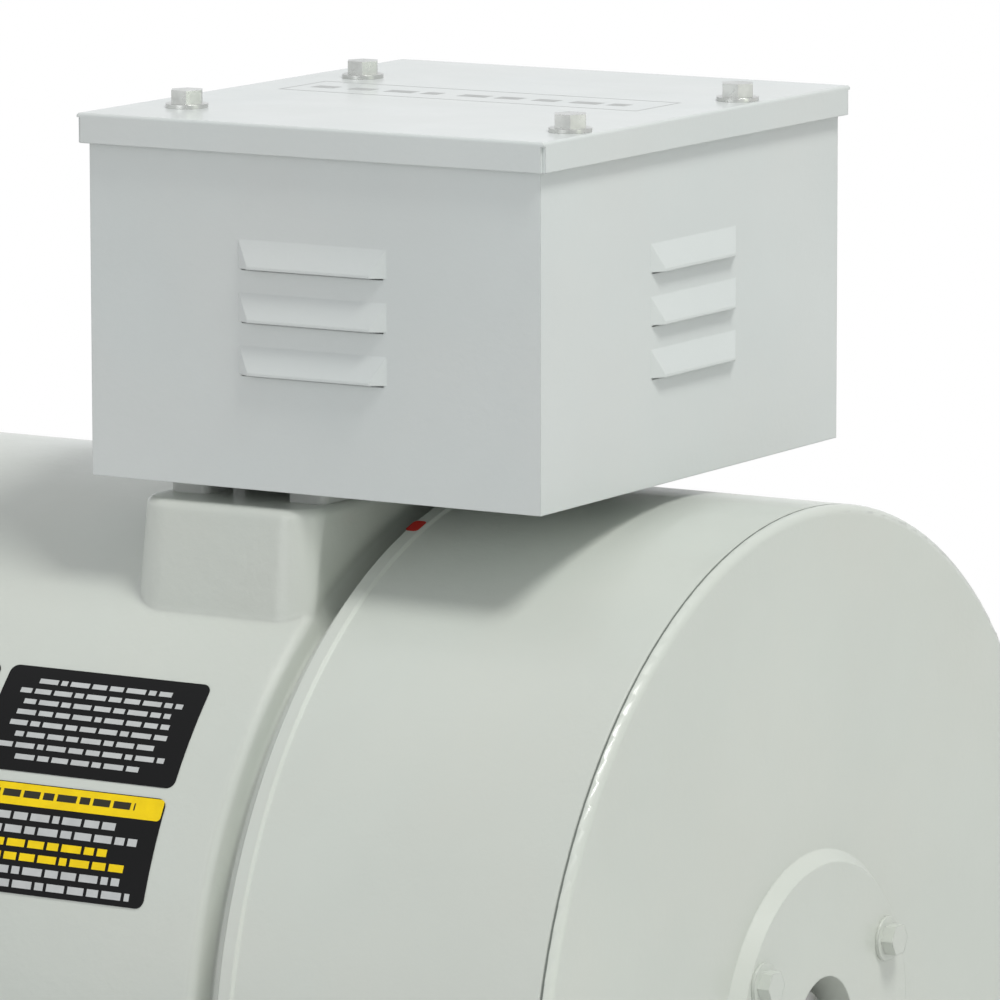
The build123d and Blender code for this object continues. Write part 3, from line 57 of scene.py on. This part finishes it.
class Nodes:
    """Adds shader nodes to one material and links them up."""

    def __init__(self, name):
        self.material = bpy.data.materials.new(name)
        self.material.use_nodes = True
        self.tree = self.material.node_tree
        self.tree.nodes.clear()
        self.position = self.new("ShaderNodeTexCoord").outputs["Object"]

    def new(self, kind, **settings):
        """A new node of this kind, with its settings."""
        node = self.tree.nodes.new(kind)
        for key, value in settings.items():
            setattr(node, key, value)
        return node

    def link(self, source, target):
        self.tree.links.new(source, target)

    def put(self, target, value):
        """Link a socket to the target, or set the target to a plain value."""
        if isinstance(value, bpy.types.NodeSocket):
            self.link(value, target)
        else:
            target.default_value = value

    def scaled(self, scale):
        """Object coordinates stretched by a factor on each axis."""
        mapping = self.new("ShaderNodeMapping")
        self.link(self.position, mapping.inputs["Vector"])
        mapping.inputs["Scale"].default_value = scale
        return mapping.outputs["Vector"]

    def noise(self, scale, detail=3.0, roughness=0.5, stretch=(1, 1, 1)):
        """Noise from 0 to 1 with about scale patches to a metre."""
        node = self.new("ShaderNodeTexNoise")
        self.link(self.scaled(stretch), node.inputs["Vector"])
        node.inputs["Scale"].default_value = scale
        node.inputs["Detail"].default_value = detail
        node.inputs["Roughness"].default_value = roughness
        return node.outputs["Fac"]

    def ramp(self, value, low, high, to_low=0.0, to_high=1.0):
        """The value mapped from low..high to to_low..to_high, and held at the ends."""
        node = self.new("ShaderNodeMapRange", clamp=True)
        self.link(value, node.inputs["Value"])
        node.inputs["From Min"].default_value = low
        node.inputs["From Max"].default_value = high
        node.inputs["To Min"].default_value = to_low
        node.inputs["To Max"].default_value = to_high
        return node.outputs["Result"]

    def between(self, scale, detail, low, high):
        """A patchy value between low and high."""
        return self.ramp(self.noise(scale, detail), NOISE_LOW, NOISE_HIGH, low, high)

    def math(self, operation, a, b=0.0):
        node = self.new("ShaderNodeMath", operation=operation)
        self.put(node.inputs[0], a)
        self.put(node.inputs[1], b)
        return node.outputs["Value"]

    def mix(self, amount, a, b):
        node = self.new("ShaderNodeMix", data_type="RGBA")
        self.put(node.inputs["Factor"], amount)
        self.put(node.inputs["A"], a)
        self.put(node.inputs["B"], b)
        return node.outputs["Result"]

    def bump(self, height, strength, distance, normal=None):
        """A normal that follows the height, laid over another normal where one is given."""
        node = self.new("ShaderNodeBump")
        self.link(height, node.inputs["Height"])
        node.inputs["Strength"].default_value = strength
        node.inputs["Distance"].default_value = distance
        if normal is not None:
            self.link(normal, node.inputs["Normal"])
        return node.outputs["Normal"]

    def rounded(self, radius):
        """A normal that rounds sharp edges off."""
        node = self.new("ShaderNodeBevel", samples=4)
        node.inputs["Radius"].default_value = radius
        return node.outputs["Normal"]

    def sharp_edge_mask(self, radius):
        """1 on sharp edges and 0 on open surfaces."""
        geometry = self.new("ShaderNodeNewGeometry")
        dot = self.new("ShaderNodeVectorMath", operation="DOT_PRODUCT")
        self.link(geometry.outputs["Normal"], dot.inputs[0])
        self.link(self.rounded(radius), dot.inputs[1])
        return self.ramp(dot.outputs["Value"], EDGE_MASK_STARTS, EDGE_MASK_FULL)

    def finish(self, color, roughness, metallic=0.0, normal=None, coat=0.0, specular=0.5):
        """The material, once its surface is joined to the output."""
        shader = self.new("ShaderNodeBsdfPrincipled")
        self.put(shader.inputs["Base Color"], color)
        self.put(shader.inputs["Roughness"], roughness)
        self.put(shader.inputs["Metallic"], metallic)
        shader.inputs["Coat Weight"].default_value = coat
        shader.inputs["Coat Roughness"].default_value = COAT_ROUGHNESS
        shader.inputs["Specular IOR Level"].default_value = specular
        if normal is not None:
            self.link(normal, shader.inputs["Normal"])
        output = self.new("ShaderNodeOutputMaterial")
        self.link(shader.outputs["BSDF"], output.inputs["Surface"])
        return self.material


def rgba(r, g, b):
    """A colour given as display values from 0 to 255."""
    linear = [((c / 255 + 0.055) / 1.055) ** 2.4 if c > 10 else c / 255 / 12.92 for c in (r, g, b)]
    return (*linear, 1.0)


def blotches(nodes, colour, scale, amount):
    """The colour with soft lighter and darker patches."""
    patches = nodes.ramp(nodes.noise(scale, 4.0, 0.55), 0.35, 0.65)
    darker = tuple(c * (1 - amount) for c in colour[:3]) + (1.0,)
    lighter = tuple(min(1.0, c * (1 + amount)) for c in colour[:3]) + (1.0,)
    return nodes.mix(patches, darker, lighter)


# ---- Materials ------------------------------------------------------------------------------
WARM_SHIFT = (1.03, 0.995, 0.985)
# painted highlight: the near-white colour that sharp edges of the enamel are lightened towards, in
# patches
EDGE_HIGHLIGHT_WHITE = rgba(236, 238, 232)
EDGE_HIGHLIGHT_AMOUNT = 0.2
PEEL_DEPTH = 0.35 * MM
ENAMEL_COAT = 0.35


def painted(name, colour, edge, cast=0.0):
    """Sprayed enamel with fine orange peel; cast raises the texture of a casting under it."""
    nodes = Nodes(name)
    tint = blotches(nodes, colour, 9.0, 0.022)
    warm = nodes.ramp(nodes.noise(14.0, 2.0), 0.4, 0.62, 0.0, 0.35)
    warmer = tuple(c * k for c, k in zip(colour[:3], WARM_SHIFT)) + (1.0,)
    tint = nodes.mix(warm, tint, warmer)
    # painted highlight: sharp edges of the paint are lightened towards near white in noisy patches
    edge_highlight = nodes.math("MULTIPLY", nodes.sharp_edge_mask(edge), nodes.ramp(nodes.noise(60.0), 0.35, 0.7))
    tint = nodes.mix(nodes.math("MULTIPLY", edge_highlight, EDGE_HIGHLIGHT_AMOUNT), tint, EDGE_HIGHLIGHT_WHITE)
    height = nodes.math("MULTIPLY", nodes.noise(420.0, 2.0), 0.35)
    if cast:
        grains = nodes.math("MULTIPLY", nodes.noise(150.0, 5.0, 0.6), cast)
        waves = nodes.math("MULTIPLY", nodes.noise(26.0, 2.0), cast * 1.6)
        height = nodes.math("ADD", nodes.math("ADD", height, grains), waves)
    normal = nodes.bump(height, 0.5, PEEL_DEPTH, nodes.rounded(edge))
    rough = nodes.between(35.0, 3.0, 0.30, 0.42)
    return nodes.finish(tint, rough, normal=normal, coat=ENAMEL_COAT)


def metal(name, colour, roughness, turned=0.0, spots=0.05, grain=0.6):
    """Plated or machined metal; turned adds tool rings about the shaft."""
    nodes = Nodes(name)
    tint = blotches(nodes, colour, 180.0, spots)
    height = nodes.math("MULTIPLY", nodes.noise(500.0), grain)
    if turned:
        rings = nodes.noise(900.0, 1.0, stretch=(1.0, 0.02, 0.02))
        height = nodes.math("ADD", height, nodes.math("MULTIPLY", rings, turned))
    normal = nodes.bump(height, 0.35, 0.08 * MM, nodes.rounded(0.3 * MM))
    rough = nodes.between(250.0, 3.0, roughness - 0.06, roughness + 0.1)
    return nodes.finish(tint, rough, metallic=1.0, normal=normal)


def moulded(name, colour, roughness, grain=600.0, depth=0.1):
    """Plastic, rubber or resin with a fine grain."""
    nodes = Nodes(name)
    tint = blotches(nodes, colour, 45.0, 0.10)
    normal = nodes.bump(nodes.noise(grain), 0.5, depth * MM, nodes.rounded(0.4 * MM))
    rough = nodes.between(90.0, 3.0, roughness - 0.05, roughness + 0.08)
    return nodes.finish(tint, rough, normal=normal, specular=0.45)


def bands(nodes, direction, scale, distortion):
    """Fine parallel lines, as on a stack of sheets or a wound coil."""
    wave = nodes.new("ShaderNodeTexWave", wave_type="BANDS", bands_direction=direction)
    nodes.link(nodes.position, wave.inputs["Vector"])
    wave.inputs["Scale"].default_value = scale
    wave.inputs["Distortion"].default_value = distortion
    return wave.outputs["Fac"]


def laminated(name):
    """Stacked electrical sheet: fine lines square to the shaft, varnished."""
    nodes = Nodes(name)
    lines = bands(nodes, "X", 320.0, 0.6)
    tint = nodes.mix(lines, rgba(70, 70, 76), rgba(112, 112, 116))
    normal = nodes.bump(lines, 0.6, 0.2 * MM)
    return nodes.finish(tint, nodes.between(80.0, 3.0, 0.35, 0.55), 0.7, normal)


def wound(name):
    """Varnished enamelled wire, seen as strands round the coil."""
    nodes = Nodes(name)
    strands = bands(nodes, "DIAGONAL", 260.0, 3.0)
    tint = nodes.mix(strands, rgba(96, 44, 18), rgba(176, 96, 44))
    tint = nodes.mix(nodes.ramp(nodes.noise(30.0), 0.5, 0.8, 0.0, 0.5), tint, rgba(70, 32, 16))
    normal = nodes.bump(strands, 0.8, 0.5 * MM)
    return nodes.finish(tint, 0.28, normal=normal, coat=0.5)


def printed(name, colour, specular=0.3):
    """Label film, ink or a touch of paint."""
    nodes = Nodes(name)
    tint = blotches(nodes, colour, 120.0, 0.06)
    normal = nodes.bump(nodes.noise(700.0), 0.3, 0.05 * MM)
    rough = nodes.between(60.0, 3.0, 0.40, 0.52)
    return nodes.finish(tint, rough, normal=normal, specular=specular)


BODY_PAINT = rgba(206, 211, 204)
BOX_PAINT = rgba(212, 217, 216)
MATERIALS = {
    "painted_grey": painted("body_enamel", BODY_PAINT, edge=0.8 * MM, cast=0.25),
    "box_paint": painted("box_enamel", BOX_PAINT, edge=0.6 * MM),
    "zinc": metal("zinc_plating", rgba(196, 197, 194), 0.30, spots=0.10),
    "brass": metal("brass", rgba(205, 168, 96), 0.28),
    "tinned_copper": metal("tinned_copper", rgba(204, 200, 190), 0.30),
    "laminations": laminated("laminations"),
    "enamelled_winding": wound("enamelled_winding"),
    "seal_rubber": moulded("seal_rubber", rgba(38, 38, 40), 0.62, grain=900.0),
    "lead_sleeve": moulded("lead_sleeve", rgba(40, 40, 42), 0.50, grain=1500.0, depth=0.05),
    "cast_grey": moulded("raw_casting", rgba(112, 113, 115), 0.60, grain=200.0, depth=0.5),
    "spacer_plastic": moulded("spacer_plastic", rgba(205, 207, 204), 0.45),
    "shaft_steel": metal(
        "shaft_steel", rgba(186, 186, 184), 0.28, turned=0.8, spots=0.02, grain=0.08,
    ),
    "fan_aluminium": metal("fan_aluminium", rgba(190, 192, 194), 0.42, spots=0.08),
    "bearing_steel": metal(
        "bearing_steel", rgba(190, 192, 196), 0.16, turned=0.4, spots=0.02, grain=0.05,
    ),
    "board_plastic": moulded("board_plastic", rgba(44, 43, 44), 0.42, grain=300.0),
    "gland_plastic": moulded("gland_plastic", rgba(112, 115, 118), 0.45, grain=500.0),
}
# castings show a rougher skin and softer edges through the same paint
CAST_PIECES = ("frame_casting", "drive_end_bell", "foot_left", "foot_right")
CAST_PAINT = painted("cast_enamel", BODY_PAINT, edge=4.0 * MM, cast=0.9)

for subpart in frame["record"]["subparts"]:
    node_name = subpart["node"]
    chosen = CAST_PAINT if node_name in CAST_PIECES else MATERIALS[subpart["material_slot"]]
    mesh = frame["nodes"][node_name].data
    mesh.materials.clear()
    mesh.materials.append(chosen)

LABEL_BLACK = printed("label_black", rgba(11, 11, 12), specular=0.15)
LABEL_YELLOW = printed("label_yellow", rgba(250, 214, 8))
LABEL_GREY = printed("label_grey", rgba(196, 198, 198))
MARK_BLACK = printed("label_mark", rgba(34, 32, 16))
MARK_RED = printed("inspection_dab", rgba(196, 40, 30))
JOINT_SHADE = printed("joint_shade", rgba(118, 124, 118), specular=0.2)
LID_PRINT = printed("lid_print", rgba(176, 178, 177), specular=0.4)


# ---- Pieces made here -----------------------------------------------------------------------
def mesh_piece(name, points, faces, material):
    """A new mesh object that rides the stator."""
    mesh = bpy.data.meshes.new(name)
    mesh.from_pydata(points, [], faces)
    mesh.materials.append(material)
    piece = bpy.data.objects.new(name, mesh)
    bpy.context.scene.collection.objects.link(piece)
    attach(piece, "stator")
    return piece


def about_shaft(x, angle, radius):
    """The point at this x, angle and distance from the shaft's axis."""
    turn = math.radians(angle)
    return (x, -radius * math.cos(turn), SHAFT_Z + radius * math.sin(turn))


def varied(phase):
    """A value from 0 to 1 that looks random and is the same in every run."""
    return abs(math.sin(phase))


# heights above the surface underneath: the back of a film, then each layer's face
FILM_BACK = 0.02 * MM
DAB_LIFT = 0.06 * MM
LABEL_LIFT = 0.25 * MM
BAND_LIFT = 0.29 * MM
MARK_LIFT = 0.33 * MM
LID_PRINT_LIFT = 0.03 * MM

CORNER_STEPS = 6
CORNER_STEP_ANGLE = 15
PATCH_STEPS = 16


def wrapped_patch(name, material, x0, x1, low, high, corner, lift=LABEL_LIFT, radius=FRAME_R):
    """A thin round-cornered patch on a cylinder about the shaft, from angle low to high."""
    edge = math.degrees(corner / radius)
    near = [edge * (1 - math.cos(math.radians(CORNER_STEP_ANGLE * k))) for k in range(CORNER_STEPS)]
    step = (high - low - 2 * edge) / PATCH_STEPS
    middle = [low + edge + step * k for k in range(PATCH_STEPS + 1)]
    angles = [low + a for a in near] + middle + [high - a for a in reversed(near)]
    points = []
    faces = []
    for angle in angles:
        short = max(0.0, edge - min(angle - low, high - angle)) / edge
        inset = corner * (1 - math.sqrt(max(0.0, 1 - short * short)))
        for x in (x0 + inset, x1 - inset):
            for reach in (radius + FILM_BACK, radius + lift):
                points.append(about_shaft(x, angle, reach))
    last = 4 * (len(angles) - 1)
    for a in range(0, last, 4):
        b = a + 4
        faces += [
            (a + 1, a + 3, b + 3, b + 1), (a, b, b + 2, a + 2),
            (a, a + 1, b + 1, b), (a + 2, b + 2, b + 3, a + 3),
        ]
    faces += [(0, 2, 3, 1), (last, last + 1, last + 3, last + 2)]
    return mesh_piece(name, points, faces, material)


BAR_GAP = 1.3 * MM
BAR_SHORTEST, BAR_SPREAD = 2.4, 5.2     # mm
ROW_SHORTEST, ROW_SPREAD = 0.62, 0.36   # shares of the width given


def label_rows(name, material, x0, x1, top, rows, pitch, height, seed):
    """Centred rows of plain bars, where a real label has print.

    top, pitch and height are in degrees, and seed varies the lengths of the bars and rows.
    """
    points = []
    faces = []
    for row in range(rows):
        high = top - row * pitch
        low = high - height
        length = (x1 - x0) * (ROW_SHORTEST + ROW_SPREAD * varied(seed + row * 1.7))
        start = (x0 + x1 - length) / 2
        x = start
        number = 0
        while x < start + length:
            width = BAR_SHORTEST + BAR_SPREAD * varied(seed * 3.1 + row * 2.3 + number * 1.9)
            end = min(x + width * MM, start + length)
            base = len(points)
            for angle in (low, high):
                for side in (x, end):
                    for reach in (FRAME_R + LABEL_LIFT, FRAME_R + MARK_LIFT):
                        points.append(about_shaft(side, angle, reach))
            faces += [
                (base + 1, base + 3, base + 7, base + 5), (base, base + 1, base + 5, base + 4),
                (base + 2, base + 6, base + 7, base + 3), (base, base + 2, base + 3, base + 1),
                (base + 4, base + 5, base + 7, base + 6), (base, base + 4, base + 6, base + 2),
            ]
            x = end + BAR_GAP
            number += 1
    return mesh_piece(name, points, faces, material)


# data plates on the near side of the frame, below the pedestal
UPPER = {"x0": 55.4 * MM, "x1": 134.0 * MM, "low": 31.8, "high": 44.5}
LOWER = {"x0": 55.0 * MM, "x1": 133.0 * MM, "low": 18.4, "high": 30.55}
SIDE = {"x0": -31.0 * MM, "x1": 51.5 * MM, "low": 18.4, "high": 44.4}
CORNER = 3.0 * MM
UPPER_MARGIN = 5 * MM
SIDE_MARGIN = 6 * MM

# the lower plate has a yellow band along its top, with rows in two colours below
BAND = 2.55
BAND_MARGIN = 0.5 * MM
LOWER_ROWS_TOP = LOWER["high"] - BAND - 0.75
LOWER_ROW_PITCH = 1.48
LOWER_ROW_HEIGHT = 0.82

wrapped_patch("label_upper", LABEL_BLACK, **UPPER, corner=CORNER)
label_rows(
    "label_upper_rows", LABEL_GREY, UPPER["x0"] + UPPER_MARGIN, UPPER["x1"] - UPPER_MARGIN,
    UPPER["high"] - 1.5, rows=8, pitch=1.32, height=0.6, seed=0.4,
)
wrapped_patch("label_lower", LABEL_BLACK, **LOWER, corner=CORNER)
wrapped_patch(
    "label_lower_band", LABEL_YELLOW, LOWER["x0"] + BAND_MARGIN, LOWER["x1"] - BAND_MARGIN,
    LOWER["high"] - BAND, LOWER["high"] - 0.1, CORNER / 2, lift=BAND_LIFT,
)
label_rows(
    "label_lower_band_marks", MARK_BLACK, LOWER["x0"] + 8 * MM, LOWER["x1"] - 9 * MM,
    LOWER["high"] - 0.85, rows=1, pitch=1.0, height=0.8, seed=2.1,
)
for name, material, rows, seed in (
    ("label_lower_rows_grey", LABEL_GREY, (0, 1, 4, 5), 0.2),
    ("label_lower_rows_yellow", LABEL_YELLOW, (2, 3), 1.3),
):
    for row in rows:
        label_rows(
            f"{name}_{row}", material, LOWER["x0"] + 4 * MM, LOWER["x1"] - 5 * MM,
            LOWER_ROWS_TOP - LOWER_ROW_PITCH * row,
            rows=1, pitch=LOWER_ROW_PITCH, height=LOWER_ROW_HEIGHT, seed=seed + 0.9 * row,
        )
wrapped_patch("label_side", LABEL_BLACK, **SIDE, corner=CORNER)
label_rows(
    "label_side_rows", LABEL_GREY, SIDE["x0"] + SIDE_MARGIN, SIDE["x1"] - SIDE_MARGIN,
    SIDE["high"] - 2.0, rows=13, pitch=1.9, height=0.8, seed=3.3,
)

# the shaded joint between the rear housing and its end bracket
SEAM_X = HOUSING_HIGH[0]
SEAM_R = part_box("rear_bracket")[1][1]
SEAM_WIDTH = 0.7 * MM
SEAM_INSET = 0.02 * MM          # from the bracket's rim in to the hoop's face
SEAM_DEPTH = 0.4 * MM           # from the rim in to the hoop's back
HOOP_STEPS = 180


def hoop(name, material, x0, x1, inner, outer):
    """A thin closed hoop about the shaft."""
    points = []
    faces = []
    for step in range(HOOP_STEPS):
        for x, reach in ((x0, inner), (x1, inner), (x1, outer), (x0, outer)):
            points.append(about_shaft(x, 360 * step / HOOP_STEPS, reach))
        a = 4 * step
        b = 4 * ((step + 1) % HOOP_STEPS)
        for k in range(4):
            n = (k + 1) % 4
            faces.append((a + k, b + k, b + n, a + n))
    return mesh_piece(name, points, faces, material)


hoop(
    "joint_line", JOINT_SHADE, SEAM_X - SEAM_WIDTH / 2, SEAM_X + SEAM_WIDTH / 2,
    SEAM_R - SEAM_DEPTH, SEAM_R - SEAM_INSET,
)

# a dab of inspection paint on the rear housing's front bead, under the box
wrapped_patch(
    "inspection_dab", MARK_RED, HOUSING_LOW[0] + 0.8 * MM, HOUSING_LOW[0] + 5.6 * MM, 70.8, 73.2,
    1.5 * MM, lift=DAB_LIFT, radius=HOUSING_HIGH[1],
)

# faint printed frame on the lid, with a row of plain bars in it
PRINT_X0, PRINT_Y0 = 0.085, -0.006
PRINT_X1, PRINT_Y1 = 0.225, 0.024
PRINT_LINE = 0.7 * MM
PRINT_BARS = 9
PRINT_MARGIN, PRINT_PITCH = 6, 14.5             # mm
PRINT_SHORTEST, PRINT_SPREAD = 6.5, 4.5         # mm
PRINT_BAR_Y0 = PRINT_Y0 + 11 * MM
PRINT_BAR_Y1 = PRINT_Y0 + 17 * MM


def flat_bars(name, material, bars, z, lift):
    """Thin bars that lie flat, each given as low x, low y, high x and high y."""
    points = []
    faces = []
    for low_x, low_y, high_x, high_y in bars:
        base = len(points)
        for x, y in ((low_x, low_y), (high_x, low_y), (high_x, high_y), (low_x, high_y)):
            points += [(x, y, z), (x, y, z + lift)]
        faces += [(base + 1, base + 3, base + 5, base + 7), (base, base + 6, base + 4, base + 2)]
        for a in (0, 2, 4, 6):
            b = (a + 2) % 8
            faces.append((base + a, base + b, base + b + 1, base + a + 1))
    return mesh_piece(name, points, faces, material)


print_bars = [
    (PRINT_X0, PRINT_Y0, PRINT_X1, PRINT_Y0 + PRINT_LINE),
    (PRINT_X0, PRINT_Y1 - PRINT_LINE, PRINT_X1, PRINT_Y1),
    (PRINT_X0, PRINT_Y0 + PRINT_LINE, PRINT_X0 + PRINT_LINE, PRINT_Y1 - PRINT_LINE),
    (PRINT_X1 - PRINT_LINE, PRINT_Y0 + PRINT_LINE, PRINT_X1, PRINT_Y1 - PRINT_LINE),
]
for number in range(PRINT_BARS):
    start = PRINT_X0 + (PRINT_MARGIN + PRINT_PITCH * number) * MM
    length = (PRINT_SHORTEST + PRINT_SPREAD * varied(1.9 * number + 0.6)) * MM
    print_bars.append((start, PRINT_BAR_Y0, start + length, PRINT_BAR_Y1))
flat_bars("lid_print", LID_PRINT, print_bars, LID_TOP_Z, LID_PRINT_LIFT)

# ---- Stage, light and camera ----------------------------------------------------------------
FLOOR_SIZE = 12.0
FLOOR_DROP = 0.5 * MM
FLOOR_PAINT = rgba(236, 236, 236)
FLOOR_FADE = (0.55, 1.5)        # distances over which the floor turns plain white
WORLD_LEVEL = 0.43
WORLD_TINT = (0.97, 0.985, 1.0, 1.0)

scene = bpy.context.scene
scene.view_settings.view_transform = "Standard"
scene.view_settings.look = "None"


def seen_directly(nodes):
    """1 for rays from the camera, a mirror or glass, and 0 for the rays that light the part."""
    path = nodes.new("ShaderNodeLightPath")
    kinds = nodes.math("MAXIMUM", path.outputs["Is Camera Ray"], path.outputs["Is Glossy Ray"])
    return nodes.math("MAXIMUM", kinds, path.outputs["Is Transmission Ray"])


floor_nodes = Nodes("floor")
shader = floor_nodes.new("ShaderNodeBsdfPrincipled")
floor_tint = blotches(floor_nodes, FLOOR_PAINT, 3.0, 0.01)
floor_nodes.link(floor_tint, shader.inputs["Base Color"])
shader.inputs["Roughness"].default_value = 0.6
white = floor_nodes.new("ShaderNodeEmission")
distance = floor_nodes.new("ShaderNodeVectorMath", operation="LENGTH")
floor_nodes.link(floor_nodes.position, distance.inputs[0])
fade = floor_nodes.ramp(distance.outputs["Value"], *FLOOR_FADE)
seen = floor_nodes.math("MULTIPLY", fade, seen_directly(floor_nodes))
blend = floor_nodes.new("ShaderNodeMixShader")
floor_nodes.link(seen, blend.inputs["Fac"])
floor_nodes.link(shader.outputs["BSDF"], blend.inputs[1])
floor_nodes.link(white.outputs["Emission"], blend.inputs[2])
output = floor_nodes.new("ShaderNodeOutputMaterial")
floor_nodes.link(blend.outputs["Shader"], output.inputs["Surface"])

floor_mesh = bpy.data.meshes.new("floor")
grid = bmesh.new()
bmesh.ops.create_grid(grid, x_segments=8, y_segments=8, size=FLOOR_SIZE)
grid.to_mesh(floor_mesh)
grid.free()
floor_mesh.materials.append(floor_nodes.material)
floor = bpy.data.objects.new("floor", floor_mesh)
floor.location = (0, 0, -FLOOR_DROP)
scene.collection.objects.link(floor)

# the world lights the part at its level, and looks white to the camera and in reflections
world = bpy.data.worlds.new("studio")
scene.world = world
world.use_nodes = True
sky = world.node_tree
background = sky.nodes["Background"]
background.inputs["Color"].default_value = WORLD_TINT
sky_path = sky.nodes.new("ShaderNodeLightPath")
sky_level = sky.nodes.new("ShaderNodeMapRange")
sky_level.inputs["To Min"].default_value = WORLD_LEVEL
sky_level.inputs["To Max"].default_value = 1.0
direct = sky.nodes.new("ShaderNodeMath")
direct.operation = "MAXIMUM"
sky.links.new(sky_path.outputs["Is Camera Ray"], direct.inputs[0])
sky.links.new(sky_path.outputs["Is Glossy Ray"], direct.inputs[1])
sky.links.new(direct.outputs["Value"], sky_level.inputs["Value"])
sky.links.new(sky_level.outputs["Result"], background.inputs["Strength"])

AIM = (0.10, 0.0, 0.25)         # the middle of the part


def soft_light(name, place, size, power, colour):
    """A round area light that points at AIM, with its power in watts."""
    data = bpy.data.lights.new(name, "AREA")
    data.shape = "DISK"
    data.size = size
    data.energy = power
    data.color = colour
    lamp = bpy.data.objects.new(name, data)
    lamp.location = place
    direction = Vector(AIM) - Vector(place)
    lamp.rotation_euler = direction.to_track_quat("-Z", "Y").to_euler()
    scene.collection.objects.link(lamp)
    return lamp


soft_light("key", (1.7, -0.5, 3.3), size=1.0, power=62.0, colour=(1.0, 1.0, 0.97))
soft_light("fill", (-0.4, -3.2, 1.0), size=1.8, power=11.0, colour=(0.97, 0.985, 1.0))
soft_light("side", (3.3, -0.7, 0.7), size=1.4, power=6.0, colour=(0.90, 1.0, 0.80))

CAMERA_LENS = 283.2
CAMERA_PLACE = (1.51648, -2.24192, 0.76254)
CAMERA_RIGHT = Vector((0.8571952, 0.51498867, -0.00174949))
CAMERA_UP = Vector((-0.07883889, 0.13458237, 0.98776111))
CAMERA_BACK = Vector((0.50892123, -0.84656616, 0.1559645))
camera_data = bpy.data.cameras.new("camera")
camera_data.sensor_width = 36.0
camera_data.lens = CAMERA_LENS
camera_data.clip_end = 50.0
camera = bpy.data.objects.new("camera", camera_data)
turn = Matrix((CAMERA_RIGHT, CAMERA_UP, CAMERA_BACK)).transposed().to_4x4()
camera.matrix_world = Matrix.Translation(CAMERA_PLACE) @ turn
scene.collection.objects.link(camera)
scene.camera = camera
